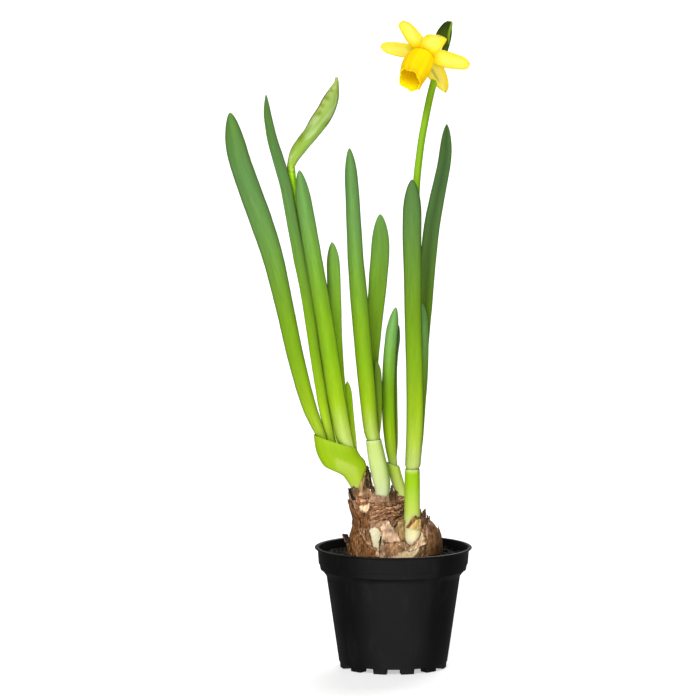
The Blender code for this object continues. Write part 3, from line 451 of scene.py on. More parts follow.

# Leaves: the route as x, y, z and width from the foot up, the side that bulges in degrees (0 is towards the
# viewer), the twist, the depth of the gutter at foot and tip as a share of the width, then how fast the
# colour deepens, how light it is at foot and tip, which on some leaves paints the shade that falls on them,
# how milky the foot is, and the lengthwise bands of painted highlight and painted shade as place across (-1 to
# 1), half width and change of shade
LEAVES = {
    "leaf_left_1": (
        [
            (-37.0, -1.5, 121.2, 4.8), (-39.4, -1.4, 128.0, 5.0), (-41.7, -1.5, 134.4, 5.9),
            (-48.4, -3.6, 151.4, 8.2), (-55.8, -5.0, 178.9, 9.4), (-61.8, -5.0, 206.4, 10.2),
            (-68.2, -5.0, 233.9, 11.8), (-74.7, -5.5, 254.4, 12.9), (-82.0, -6.0, 274.9, 12.9),
            (-88.7, -6.0, 295.3, 12.2), (-92.7, -6.0, 317.6, 10.6),
        ],
        12, -24, 0.20, 0.10, 1.0, (0.82, 0.90), 0.0,
        [(-0.55, 0.3, -0.06), (0.2, 0.35, 0.10), (0.8, 0.2, -0.12)],
    ),
    "leaf_left_2": (
        [
            (-34.0, 1.3, 121.2, 4.4), (-35.8, 1.1, 130.5, 4.8), (-39.7, -0.6, 148.3, 6.0),
            (-44.9, -1.4, 181.0, 6.2), (-49.5, -1.6, 213.1, 6.8), (-53.5, -1.8, 233.6, 7.1),
            (-57.4, -2.2, 254.1, 6.9), (-61.1, -3.2, 274.6, 6.9), (-64.8, -3.6, 288.3, 7.0),
            (-68.8, -3.6, 301.9, 6.2), (-71.5, -3.5, 315.5, 4.8), (-72.3, -3.4, 327.6, 3.0),
        ],
        -10, -12, 0.16, 0.14, 0.95, (1.02, 0.80), 0.0,
        [(-0.85, 0.2, 0.30), (0.5, 0.4, -0.12)],
    ),
    "leaf_left_3": (
        [
            (-24.8, -2.2, 121.8, 6.8), (-26.6, -3.0, 128.5, 8.2), (-28.7, -4.0, 135.2, 9.6),
            (-32.8, -5.5, 156.9, 10.2), (-36.5, -6.0, 181.6, 10.2), (-40.1, -6.0, 204.4, 10.1),
            (-44.1, -6.0, 227.2, 9.7), (-48.0, -6.0, 250.0, 9.5), (-50.3, -6.0, 263.6, 9.1),
            (-53.5, -6.0, 285.0, 7.6),
        ],
        0, 10, 0.16, 0.14, 0.95, (0.92, 1.12), 0.55,
        [(-0.75, 0.25, -0.18), (0.05, 0.3, 0.08), (0.45, 0.15, -0.08)],
    ),
    "leaf_left_4": (
        [
            (-23.6, 0.2, 121.4, 4.2), (-24.9, 0.6, 127.0, 5.0), (-27.1, 1.6, 135.9, 6.0),
            (-30.8, 3.0, 160.5, 7.0), (-32.8, 3.4, 184.6, 7.4), (-33.9, 3.4, 215.0, 7.9),
            (-34.6, 3.0, 234.4, 7.6), (-35.0, 2.8, 243.4, 7.0),
        ],
        180, 14, 0.08, 0.14, 1.0, (1.3, 1.1), 0.0,
        [(-0.1, 0.4, 0.08), (0.8, 0.3, -0.45)],
    ),
    "leaf_left_5": (
        [
            (-21.8, 2.3, 121.0, 2.6), (-22.5, 2.8, 127.0, 3.4), (-23.5, 4.3, 133.0, 4.2),
            (-24.9, 5.6, 144.2, 4.6), (-25.7, 6.0, 155.6, 4.4), (-26.4, 6.0, 163.4, 3.8),
        ],
        170, 0, 0.05, 0.12, 1.3, (1.5, 1.5), 0.0,
        [(0.6, 0.3, -0.25)],
    ),
    "leaf_middle_1": (
        [
            (-10.0, -1.8, 120.8, 5.8), (-11.0, -1.8, 129.0, 6.5), (-11.6, -2.0, 132.0, 8.2),
            (-13.0, -2.4, 139.3, 8.8),
            (-15.4, -3.0, 162.8, 9.6), (-17.4, -3.4, 185.2, 10.0), (-19.7, -3.4, 211.0, 10.1),
            (-21.7, -3.2, 233.8, 9.2), (-22.8, -3.0, 254.3, 8.6), (-23.9, -3.0, 274.7, 7.9),
            (-25.1, -3.0, 297.3, 6.6),
        ],
        0, -16, 0.28, 0.16, 1.0, (0.86, 1.02), 0.5,
        [(-0.7, 0.2, -0.12), (0.0, 0.3, 0.10), (0.75, 0.25, -0.15)],
    ),
    "leaf_middle_2": (
        [
            (-10.4, 2.1, 120.8, 4.6), (-11.0, 2.2, 130.0, 4.9), (-12.3, 3.4, 147.3, 6.4),
            (-12.8, 4.4, 170.3, 8.0), (-11.7, 4.8, 190.2, 9.2), (-10.0, 4.8, 209.2, 9.9),
            (-8.6, 4.6, 226.3, 10.8), (-7.7, 4.4, 240.0, 10.6), (-7.6, 4.2, 259.3, 9.6),
        ],
        180, 12, 0.20, 0.14, 0.95, (0.66, 1.2), 0.0,
        [(0.5, 0.3, 0.08), (-0.6, 0.3, -0.12)],
    ),
    "leaf_middle_3": (
        [
            (-8.7, 0.3, 120.8, 2.2), (-9.3, 0.3, 130.0, 2.3), (-8.6, 0.2, 141.8, 3.6),
            (-8.5, 0.0, 156.1, 4.1), (-8.9, 0.0, 167.6, 4.2), (-9.7, 0.0, 176.0, 3.6),
        ],
        180, 0, 0.04, 0.12, 1.6, (0.56, 0.56), 0.0,
        [],
    ),
    "leaf_rear_1": (
        [
            (0.7, 7.6, 111.6, 4.4), (-0.3, 7.6, 117.0, 4.9), (-1.4, 7.8, 126.0, 6.4), (-2.5, 8.0, 140.9, 7.4),
            (-2.8, 8.0, 158.2, 7.5), (-2.2, 8.0, 174.3, 7.4), (-1.0, 8.0, 189.0, 7.2), (1.4, 8.0, 205.7, 6.0),
        ],
        0, 20, 0.10, 0.16, 1.9, (0.76, 1.95), 0.0,
        [(-0.8, 0.2, -0.2), (0.0, 0.3, 0.12)],
    ),
    "leaf_rear_2": (
        [
            (0.9, 10.4, 111.4, 2.8), (0.4, 10.5, 117.5, 3.0), (0.6, 11.2, 129.0, 4.2),
            (0.1, 12.0, 152.0, 4.6),
            (-0.1, 12.2, 172.2, 4.9), (1.6, 12.0, 186.6, 4.4), (3.0, 12.0, 195.0, 3.6),
        ],
        180, 0, 0.08, 0.12, 2.0, (0.8, 0.8), 0.0,
        [],
    ),
    "leaf_right_1": (
        [
            (10.6, -15.8, 105.8, 6.2), (10.6, -14.3, 114.6, 6.6), (10.8, -14.7, 117.0, 8.6),
            (11.1, -15.1, 121.5, 9.0),
            (11.7, -16.0, 131.9, 9.4), (12.1, -16.4, 149.1, 9.7), (11.8, -16.4, 171.9, 9.7),
            (11.0, -16.0, 200.4, 9.7), (10.6, -15.6, 228.9, 10.2), (10.3, -15.0, 251.6, 10.8),
            (10.4, -14.6, 270.0, 10.4), (10.2, -14.4, 280.3, 9.8),
        ],
        0, 8, 0.30, 0.08, 0.95, (0.87, 0.70), 0.3,
        [(-0.8, 0.2, -0.10), (0.3, 0.3, 0.05), (0.85, 0.15, -0.18)],
    ),
    "leaf_right_2": (
        [
            (10.5, -10.3, 105.8, 3.8), (10.7, -9.1, 116.0, 4.0), (13.2, -8.0, 131.6, 5.8),
            (14.7, -6.8, 160.2, 6.9), (16.1, -6.0, 185.8, 7.6), (17.8, -5.6, 211.3, 8.6),
            (19.4, -5.3, 234.0, 9.1), (21.7, -5.0, 254.5, 9.1), (24.2, -5.0, 268.1, 8.6),
            (26.5, -5.0, 279.5, 8.0), (28.8, -5.0, 291.9, 7.4), (29.9, -5.0, 311.0, 6.0),
        ],
        180, 10, 0.20, 0.22, 1.0, (0.74, 0.56), 0.0,
        [(-0.1, 0.35, -0.35), (0.7, 0.2, 0.15)],
    ),
    "leaf_right_3": (
        [
            (12.9, -13.2, 105.8, 1.8), (12.9, -12.0, 116.0, 1.9), (15.1, -10.4, 129.0, 3.0),
            (16.2, -9.8, 149.0, 4.0), (17.5, -9.6, 171.7, 4.5), (17.8, -9.4, 191.6, 4.5),
            (17.2, -9.2, 203.0, 4.0), (16.2, -9.0, 209.6, 3.2),
        ],
        20, 0, 0.04, 0.12, 1.8, (0.32, 1.35), 0.0,
        [(-0.7, 0.3, 0.15), (0.5, 0.4, -0.25)],
    ),
}
LEAF_SPACING = 2.4
LEAF_TIP_LENGTH = 1.8
LEAF_TIP_WIDTH = 0.5
LEAF_TIP_STEPS = (0.9, 0.75, 0.6, 0.45, 0.32, 0.22, 0.14, 0.08, 0.035, 0.01, 0.0)
LEAF_ACROSS = (-1.0, -0.96, -0.86, -0.68, -0.46, -0.23, 0.0, 0.23, 0.46, 0.68, 0.86, 0.96, 1.0)
LEAF_EDGE = 0.34
LEAF_RIB = 0.07
# How much darker the lower face of a leaf is: painted shade
LEAF_INNER_SHADE = 0.93
# The colour painted along a leaf's edges: painted shade
LEAF_EDGE_SHADE_COLOUR = (0.05, 0.10, 0.012)
MILKY_COLOUR = (0.52, 0.60, 0.22)


def leaf_tint(height, across, inner, span, deepening, lights, milky, painted_light_and_shade_bands):
    """The colour of a leaf at a height and a place across it, with painted highlight and shade in it."""
    foot, top = span
    colour = ramp(LEAF_COLOURS, foot + (height - foot) * deepening)
    milky *= (1.0 - step(foot + 4.0, foot + 34.0, height)) * (1.0 - step(0.3, 1.0, abs(across)))
    colour = mix(colour, MILKY_COLOUR, milky)
    # How light the leaf is at foot and tip; on some leaves this paints the shade that falls on them
    factor = lights[0] + (lights[1] - lights[0]) * (height - foot) / (top - foot)
    # The lower face is darker: painted shade
    factor *= LEAF_INNER_SHADE if inner else 1.0
    # Lengthwise bands of painted highlight and painted shade
    for middle, half_width, change in painted_light_and_shade_bands:
        near = max(1.0 - abs(across - middle) / (2.0 * half_width), 0.0)
        factor *= 1.0 + change * near * near * (3.0 - 2.0 * near)
    # The edges are darkened: painted shade
    edge = step(0.80, 0.97, abs(across))
    return shade(mix(colour, LEAF_EDGE_SHADE_COLOUR, 0.75 * edge), factor)


def blade(route, bulge_side, twist, foot_cup, tip_cup, *look):
    """A long leaf with a ribbed gutter across it, drawn in at its tip."""
    span = (route[0][2], route[-1][2])
    tip = LEAF_TIP_LENGTH * max(row[3] for row in route)

    def distances(length):
        count = max(round((length - tip) / LEAF_SPACING), 4)
        even = [(length - tip) * i / count for i in range(count + 1)]
        return even + [length - tip * share for share in LEAF_TIP_STEPS]

    rows = at_distances(route, distances)
    centres = [Vector(row[:3]) for row in rows]
    left = [0.0] * len(rows)
    for i in range(len(rows) - 2, -1, -1):
        left[i] = left[i + 1] + (centres[i + 1] - centres[i]).length
    rings = []
    for row, centre, along, remaining in zip(rows, centres, directions(centres), left):
        share = 1.0 - remaining / left[0]
        angle = math.radians(bulge_side + twist * share)
        bulge = Vector((math.sin(angle), -math.cos(angle), 0.0))
        bulge = (bulge - along * bulge.dot(along)).normalized()
        across = along.cross(bulge)
        narrowing = (1.0 - (1.0 - min(remaining / tip, 1.0)) ** 2) ** 0.6
        width = max(row[3] * narrowing, LEAF_TIP_WIDTH)
        cup = (foot_cup + (tip_cup - foot_cup) * min(share * 4.0, 1.0)) * width
        middle = clamp(0.14 * row[3] + 0.3, 0.9, 1.7) * (0.45 + 0.55 * narrowing)
        wander = 0.12 * noise.noise(Vector((row[2] / 17.0, row[0], 0.0)))
        ring = []
        for u, side in there_and_back(LEAF_ACROSS):
            rise = cup * (0.5 - u * u)
            rib = LEAF_RIB * math.cos(3.0 * math.pi * u) * (1.0 - u * u) * narrowing
            full = LEAF_EDGE + (max(middle, LEAF_EDGE) - LEAF_EDGE) * (1.0 - u * u) ** 0.8
            if abs(u) == 1.0:
                full *= 0.5
            offset = side * (full / 2.0 + rib)
            place = centre + across * (u * width / 2.0 + wander) + bulge * (rise + offset)
            colour = leaf_tint(row[2], u, side < 0, span, *look)
            ring.append((place, colour, (u * width / 2.0, 3.0 * side, left[0] - remaining)))
        rings.append(ring)
    return shell(rings)


# Stems: x, y, z and radius from the foot up
STEM_BUD = [
    (-28.8, 2.7, 121.2, 1.9), (-32.8, 3.1, 134.9, 2.1), (-38.5, 2.7, 156.0, 2.2), (-42.5, 2.5, 184.7, 2.2),
    (-45.9, 2.5, 210.5, 2.2), (-49.8, 2.5, 236.2, 2.2), (-53.8, 2.2, 259.1, 2.2), (-57.2, 1.0, 276.2, 2.2),
    (-58.3, -0.3, 286.7, 2.2),
]
STEM_FLOWER = [
    (9.7, -13.4, 105.8, 1.8), (9.7, -12.2, 116.0, 1.8), (11.3, -11.5, 137.0, 2.1),
    (11.8, -10.8, 171.6, 2.1), (11.8, -10.0, 220.0, 2.1), (12.4, -8.0, 270.0, 2.1),
    (14.7, -4.2, 295.2, 2.0), (17.5, -0.4, 311.9, 2.0), (21.1, 3.8, 328.6, 2.0),
    (25.0, 7.0, 341.9, 2.0), (28.4, 7.8, 351.4, 2.0),
]
FLOWER_STALK = [
    (30.0, 8.0, 355.2, 1.6), (31.2, 8.1, 359.8, 1.5), (31.6, 8.0, 363.8, 1.4), (30.5, 7.4, 365.9, 1.4),
    (28.9, 6.2, 364.4, 1.4), (27.2, 4.4, 361.2, 1.6), (25.0, 2.3, 359.3, 1.9), (22.9, 0.4, 358.7, 2.3),
    (21.2, -1.3, 358.5, 2.1), (20.35, -2.8, 357.35, 1.6),
]
# The spathe, in rows like those of the sheaths below
SPATHE = [
    (29.4, 354.6, 31.6, 354.6, 7.2, 1.5), (28.6, 356.2, 31.7, 356.2, 6.8, 1.9),
    (26.3, 358.4, 31.9, 358.2, 6.2, 2.3), (23.9, 360.6, 32.2, 361.0, 5.4, 2.6),
    (25.0, 363.6, 32.7, 364.2, 5.6, 2.5), (26.8, 366.0, 33.1, 366.3, 6.2, 2.2),
    (28.6, 367.9, 33.3, 367.8, 6.7, 1.6), (30.3, 368.9, 33.0, 368.7, 7.0, 0.8),
]
STEM_COLOURS = [
    (110.0, (0.45, 0.58, 0.11)), (150.0, (0.26, 0.46, 0.008)), (250.0, (0.20, 0.39, 0.004)),
    (290.0, (0.195, 0.385, 0.004)), (335.0, (0.19, 0.36, 0.008)),
]
# The painted shade on a stem under the spathe
UNDER_SPATHE_SHADE_COLOUR = (0.045, 0.078, 0.003)
# How light each stem is, which on the bud's stem paints light, and the height from which the spathe wraps it
# and its shade is painted on the stem, which for the bud's stem is never
BUD_STEM_LOOK = (1.9, 900.0)
FLOWER_STEM_LOOK = (1.0, 350.0)
STEM_SIDES = 28
STEM_SPACING = 2.2
STALK_SPACING = 0.8
STEM_RIBS = 5
STEM_RIB = 0.05


def stem_tint(height, light, spathe_from):
    """The colour of a stem at a height, with painted light and with painted shade where the spathe wraps it.
    """
    # A light factor above 1 paints light
    colour = shade(ramp(STEM_COLOURS, height), light)
    # Painted shade under the spathe
    return mix(colour, UNDER_SPATHE_SHADE_COLOUR, step(spathe_from - 2.0, spathe_from + 3.0, height))


def round_stem(rows, *look):
    """A closed round stem, faintly ribbed, through rows of x, y, z and radius."""
    centres = [Vector(row[:3]) for row in rows]
    rings = []
    reached = 0.0
    for i, (row, centre, along) in enumerate(zip(rows, centres, directions(centres))):
        reached += (centre - centres[max(i - 1, 0)]).length
        side = along.cross(Vector((0.0, -1.0, 0.0))).normalized()
        out = side.cross(along)
        colour = stem_tint(row[2], *look)
        ring = []
        for turn in turns_of(STEM_SIDES):
            radius = row[3] * (1.0 + STEM_RIB * math.cos(STEM_RIBS * turn))
            place = centre + (side * math.cos(turn) + out * math.sin(turn)) * radius
            ring.append((place, colour, (row[3] * math.cos(turn), row[3] * math.sin(turn), reached)))
        rings.append(ring)
    return shell(rings)


# Sheaths and the bud: left x and z, right x and z, centre y and half depth, from the foot up
SHEATH_LEFT = [
    (-23.2, 98.6, -18.4, 98.4, -3.0, 2.4), (-24.2, 103.0, -17.6, 103.2, -3.0, 3.2),
    (-26.2, 106.7, -16.6, 107.6, -3.0, 3.9), (-29.4, 110.6, -15.9, 111.7, -2.4, 4.6),
    (-35.3, 113.3, -15.4, 115.0, -1.4, 5.6), (-40.0, 116.0, -16.5, 118.8, -0.5, 6.2),
    (-44.0, 123.6, -19.0, 121.6, 0.0, 6.5), (-45.6, 133.6, -21.4, 126.0, 0.0, 6.5),
]
SHEATH_MIDDLE = [
    (-9.4, 93.6, -3.4, 93.6, 0.0, 3.0), (-10.1, 98.1, -2.4, 98.1, 0.0, 4.0),
    (-10.8, 103.0, -1.8, 104.4, 0.0, 4.5), (-12.2, 108.4, -2.2, 109.6, 0.0, 4.8),
    (-14.5, 120.0, -4.2, 119.2, 0.0, 4.7), (-15.8, 130.0, -7.0, 131.0, 0.0, 4.6),
]
SHEATH_REAR = [
    (2.4, 92.4, 7.6, 92.2, 9.0, 2.4), (1.6, 96.4, 8.0, 96.2, 9.0, 3.2),
    (0.2, 101.0, 7.4, 100.4, 9.0, 3.5), (-1.4, 106.0, 6.2, 104.8, 9.0, 3.7),
    (-2.8, 111.0, 4.8, 109.4, 9.0, 3.8), (-4.0, 116.6, 3.7, 113.8, 9.0, 3.8),
]
SHEATH_RIGHT = [
    (9.2, 72.3, 11.2, 72.3, -20.4, 2.4), (7.4, 73.9, 13.0, 74.3, -20.2, 4.4),
    (6.1, 76.3, 14.6, 77.2, -19.9, 5.4), (5.8, 80.0, 15.5, 81.0, -19.0, 5.7),
    (5.9, 84.5, 15.3, 85.4, -17.6, 5.4), (6.0, 92.0, 15.0, 92.0, -15.8, 5.2),
    (6.2, 104.0, 15.0, 104.0, -13.8, 5.2), (6.3, 115.2, 14.9, 115.4, -12.3, 5.2),
]
BUD = [
    (-60.4, 283.6, -55.8, 283.4, 0.1, 2.3), (-60.6, 287.0, -56.0, 286.6, -0.4, 2.35),
    (-58.9, 295.2, -53.1, 291.5, -1.2, 3.2), (-55.4, 301.7, -48.6, 296.9, -2.0, 4.0),
    (-50.8, 307.4, -43.8, 302.6, -2.8, 4.6), (-46.9, 314.4, -38.4, 309.3, -3.6, 5.0),
    (-43.2, 320.0, -34.4, 315.8, -4.0, 4.9), (-39.9, 326.0, -31.7, 323.0, -4.2, 4.3),
    (-36.4, 331.1, -30.9, 329.2, -4.2, 2.9), (-34.0, 334.4, -31.1, 333.6, -4.2, 1.5),
    (-33.0, 337.7, -31.7, 337.5, -4.2, 0.7),
]
SHEATH_SIDES = 56
SHEATH_ROWS_PER_SPAN = 7
SHEATH_WALL = 0.45
# How square a section is: 2 is an ellipse
SHEATH_SQUARENESS = 2.3
ROUND = 2.0
SPATHE_SIDES = 40
# The fold across the left sheath, which is painted as a pale highlight: the height of its left end, how fast
# it falls to the right, and how far left of the pot's axis it starts
FOLD_TOP = 121.6
FOLD_SLOPE = 0.45
FOLD_LEFT = 33.0


def outline_ring(row, turns, squareness, grow):
    """A ring between a left and a right outline point, as deep as the row says."""
    left_x, left_z, right_x, right_z, y, half_depth = row
    centre = Vector(((left_x + right_x) / 2.0, y, (left_z + right_z) / 2.0))
    half = Vector(((right_x - left_x) / 2.0, 0.0, (right_z - left_z) / 2.0))
    half *= (half.length + grow) / half.length
    depth = Vector((0.0, half_depth + grow, 0.0))
    points = []
    for turn in turns:
        c = math.copysign(abs(math.cos(turn)) ** (2.0 / squareness), math.cos(turn))
        s = math.copysign(abs(math.sin(turn)) ** (2.0 / squareness), math.sin(turn))
        points.append(centre + half * c + depth * s)
    return points


def wrapped(rows, sides, squareness, tint_at, floor_row=None, swell_at=None):
    """A closed body round outline rows, hollow above its floor row where it has one.

    tint_at gives the colour for a share of the height, a turn, a place and whether that is inside. A turn of
    0 degrees is the right outline, 90 the far side, 180 the left outline and 270 the viewer's side.
    """
    fine = spline(rows, SHEATH_ROWS_PER_SPAN)
    spans = len(fine) - 1
    order = [(j, 0.0) for j in range(spans + 1)]
    if floor_row is not None:
        floor_step = round(floor_row * SHEATH_ROWS_PER_SPAN)
        order += [(spans, -0.35 * SHEATH_WALL)]
        order += [(j, -SHEATH_WALL) for j in range(spans, floor_step - 1, -1)]
    turns = turns_of(sides)
    rings = []
    for j, grow in order:
        share = j / spans
        points = outline_ring(fine[j], turns, squareness, grow)
        middle = sum(points, Vector()) / sides
        ring = []
        for turn, point in zip(turns, points):
            colour = tint_at(share, turn, point, grow < 0.0)
            grain = (6.0 * math.cos(turn), 6.0 * math.sin(turn), 50.0 * share)
            if swell_at:
                point = middle + (point - middle) * swell_at(share, turn)
            ring.append((point, colour, grain))
        rings.append(ring)
    return shell(rings)


# The inside walls of the hollow sheaths are darkened: painted shade
SHEATH_INNER_SHADE = 0.75
REAR_SHEATH_INNER_SHADE = 0.7
LEFT_SHEATH_COLOURS = [
    (0.0, (0.36, 0.34, 0.14)), (0.06, (0.42, 0.44, 0.12)), (0.14, (0.40, 0.47, 0.07)),
    (0.35, (0.33, 0.46, 0.02)), (0.6, (0.27, 0.425, 0.003)), (0.9, (0.255, 0.41, 0.002)),
    (1.0, (0.29, 0.45, 0.01)),
]
MIDDLE_SHEATH_COLOURS = [
    (0.0, (0.50, 0.44, 0.30)), (0.12, (0.56, 0.56, 0.38)), (0.3, (0.55, 0.60, 0.33)),
    (0.5, (0.53, 0.62, 0.27)), (0.8, (0.49, 0.60, 0.19)), (0.965, (0.45, 0.57, 0.15)),
    (0.982, (0.58, 0.68, 0.30)), (1.0, (0.62, 0.71, 0.34)),
]
REAR_SHEATH_COLOURS = [
    (0.0, (0.66, 0.68, 0.32)), (0.3, (0.60, 0.70, 0.19)), (0.8, (0.48, 0.62, 0.08)),
    (1.0, (0.46, 0.62, 0.08)),
]
RIGHT_SHEATH_COLOURS = [
    (0.0, (0.90, 0.78, 0.54)), (0.26, (0.88, 0.79, 0.52)), (0.40, (0.76, 0.71, 0.38)),
    (0.55, (0.66, 0.60, 0.30)), (0.72, (0.44, 0.56, 0.08)), (0.90, (0.275, 0.48, 0.003)),
    (0.975, (0.26, 0.46, 0.003)), (0.985, (0.52, 0.66, 0.16)), (1.0, (0.62, 0.74, 0.28)),
]
BUD_COLOURS = [
    (0.0, (0.29, 0.57, 0.005)), (0.08, (0.28, 0.54, 0.006)), (0.13, (0.27, 0.41, 0.03)),
    (0.2, (0.27, 0.40, 0.06)), (0.45, (0.25, 0.375, 0.08)), (0.75, (0.245, 0.36, 0.07)),
    (0.93, (0.26, 0.36, 0.05)), (1.0, (0.38, 0.40, 0.14)),
]


def left_sheath_tint(share, turn, place, inner):
    """Green, with a painted highlight along a fold across it, a dry torn foot and painted shade on its right
    edge.
    """
    colour = ramp(LEFT_SHEATH_COLOURS, share)
    below = FOLD_TOP - FOLD_SLOPE * (place.x + FOLD_LEFT) - place.z
    beside = step(-FOLD_LEFT - 1.0, -FOLD_LEFT + 1.0, place.x) * (1.0 - step(-23.0, -18.5, place.x))
    fold = beside * step(0.0, 1.0, below) * (1.0 - step(2.5, 11.0, below))
    # The fold is painted paler: painted highlight
    colour = mix(colour, (0.41, 0.51, 0.07), 0.65 * fold)
    torn = step(0.0, 2.6, place.x + 20.5 - 0.30 * (place.z - 103.0))
    dry = torn * (1.0 - step(113.0, 117.5, place.z))
    colour = mix(colour, (0.20, 0.13, 0.02), 0.85 * dry)
    # The right edge is darkened: painted shade
    edge = facing(turn, 0.0, 24.0) * step(0.25, 0.45, share)
    colour = mix(colour, (0.07, 0.11, 0.003), min(1.2 * edge, 0.85))
    return shade(colour, SHEATH_INNER_SHADE if inner else 1.0)


def middle_sheath_tint(share, turn, place, inner):
    """Milky, with a pale rim and a darker green right side, partly its own green and partly painted shade."""
    colour = ramp(MIDDLE_SHEATH_COLOURS, share)
    # A darker green right side: partly its own green, partly painted shade
    colour = mix(colour, (0.25, 0.44, 0.01), 0.85 * facing(turn, 0.0, 75.0) * step(0.1, 0.35, share))
    colour = mix(colour, (0.33, 0.50, 0.03), 0.7 * facing(turn, 90.0, 120.0))
    return shade(colour, SHEATH_INNER_SHADE if inner else 1.0)


def rear_sheath_tint(share, turn, place, inner):
    """Pale green, with a darker right side."""
    colour = ramp(REAR_SHEATH_COLOURS, share)
    colour = mix(colour, (0.24, 0.40, 0.01), 0.6 * facing(turn, 0.0, 60.0))
    return shade(colour, REAR_SHEATH_INNER_SHADE if inner else 1.0)


def right_sheath_tint(share, turn, place, inner):
    """Milky at its foot and green above, with a pale rim that has a brown nick."""
    colour = ramp(RIGHT_SHEATH_COLOURS, share)
    colour = mix(colour, (0.25, 0.44, 0.003), 0.45 * facing(turn, 180.0, 60.0) * step(0.3, 0.6, share))
    nick = facing(turn, 322.0, 18.0) * step(0.955, 0.985, share)
    colour = mix(colour, (0.32, 0.18, 0.05), 0.9 * nick)
    return shade(colour, SHEATH_INNER_SHADE if inner else 1.0)


# Olive creases across the bud: how far up it and where round it each lies, half its length and half its turn
BUD_CREASES = [
    (0.79, 244.0, 0.026, 40.0), (0.71, 230.0, 0.030, 58.0), (0.64, 222.0, 0.022, 44.0),
    (0.57, 238.0, 0.034, 36.0), (0.34, 222.0, 0.050, 50.0), (0.53, 322.0, 0.060, 30.0),
]


def bud_tint(share, turn, place, inner):
    """Pale green lumps between greener hollows, olive creases, a painted highlight and painted shade on its
    sides.
    """
    colour = ramp(BUD_COLOURS, share)
    lump = noise.noise(Vector((1.8 * math.cos(turn), 1.8 * math.sin(turn), 9.0 * share)))
    colour = mix(colour, (0.19, 0.33, 0.02), clamp(2.0 * lump, 0.0, 0.45) * (1.0 - step(0.5, 0.7, share)))
    colour = mix(colour, (0.38, 0.50, 0.18), clamp(-2.0 * lump, 0.0, 0.7))
    # A painted highlight on the left front, where the light falls
    pale = facing(turn, 215.0, 75.0) * step(0.5, 0.62, share) * (1.0 - step(0.9, 0.97, share))
    colour = mix(colour, (0.42, 0.52, 0.13), 0.75 * pale)
    for along, towards, half_length, half_turn in BUD_CREASES:
        olive = 1.0 - step(0.2, 1.0, abs(share - along) / half_length)
        colour = mix(colour, (0.17, 0.25, 0.005), 0.75 * olive * facing(turn, towards, half_turn))
    above_foot = step(0.08, 0.2, share)
    # Painted shade on the right side
    colour = mix(colour, (0.13, 0.25, 0.02), 0.55 * facing(turn, 0.0, 75.0) * above_foot)
    # Painted shade along both side edges
    edge = max(facing(turn, 0.0, 36.0), facing(turn, 180.0, 30.0)) * above_foot
    return mix(colour, (0.045, 0.09, 0.006), min(1.5 * edge, 0.92))


def bud_swell(share, turn):
    """Folded petals showing as long low ridges and lumps through the bud's skin."""
    ridges = math.cos(3.0 * turn + 5.0 * share)
    lump = noise.noise(Vector((2.6 * math.cos(turn), 2.6 * math.sin(turn), 11.0 * share)))
    return 1.0 + (0.015 * ridges + 0.055 * lump) * step(0.12, 0.3, share) * (1.0 - step(0.85, 1.0, share))


def spathe_tint(share, turn, place, inner):
    """Dark green, partly painted shade, with a lighter keel, partly painted highlight, and a painted highlight
    near its tip.
    """
    # Darker towards the tip: partly its own colour, partly painted shade
    colour = mix((0.050, 0.090, 0.002), (0.024, 0.044, 0.001), step(0.2, 0.8, share))
    # The keel is lighter: partly its own colour, partly painted highlight
    keel = facing(turn, 322.0, 26.0) * step(0.05, 0.2, share)
    colour = mix(colour, (0.26, 0.40, 0.03), min(1.6 * keel, 0.95))
    # A pale painted highlight near the tip
    return mix(colour, (0.60, 0.66, 0.28), 0.85 * facing(turn, 338.0, 14.0) * step(0.78, 0.92, share))


def spathe_swell(share, turn):
    """Dry folds that run from the foot of the spathe to its tip."""
    return 1.0 + 0.05 * math.cos(7.0 * turn + 2.0 * share) + 0.03 * math.cos(13.0 * turn)


# Flower: the middle of its petals and the way it looks
FLOWER_CENTRE = Vector((16.9, -9.0, 350.8))
FLOWER_AXIS = Vector((-0.354, -0.643, -0.679)).normalized()
FLOWER_SIDE = Vector((-0.887, 0.0, 0.462))
# Turned bodies of the flower: places along its axis and the radius at each
TUBE = [(-8.9, 1.7), (-7.6, 2.0), (-5.6, 2.4), (-3.4, 3.2), (-1.6, 4.4), (0.4, 5.3), (0.9, 5.0)]
CORONA = [(1.2, 5.8), (3.0, 6.9), (7.0, 7.7), (11.0, 7.9), (14.5, 7.8), (17.6, 7.5), (20.2, 7.5)]
STAMEN_BASE = [(2.4, 3.4), (3.3, 3.4)]
STAMEN = [
    (2.9, 0.42), (5.0, 0.40), (8.8, 0.36), (9.1, 0.55), (9.6, 0.78), (10.6, 0.84), (12.0, 0.80), (12.7, 0.62),
    (13.0, 0.30),
]
STYLE = [(2.9, 0.6), (8.0, 0.55), (12.4, 0.5), (12.8, 0.8), (13.2, 1.1), (13.7, 1.05), (14.0, 0.7)]
PETAL_LENGTH = 26.0
PETAL_ROOT = 2.0
PETAL_WIDTH = 11.4
PETAL_THICKNESS = 0.5
# The outline of a petal is the part of a half wave from start to stop, made fuller, and rounded off beyond its
# shoulder
PETAL_START = 0.2
PETAL_STOP = 0.90
PETAL_FULLNESS = 0.6
PETAL_SHOULDER = 0.86
PETAL_ROWS = 44
PETAL_ACROSS = (-1.0, -0.96, -0.88, -0.74, -0.56, -0.38, -0.2, 0.0, 0.2, 0.38, 0.56, 0.74, 0.88, 0.96, 1.0)
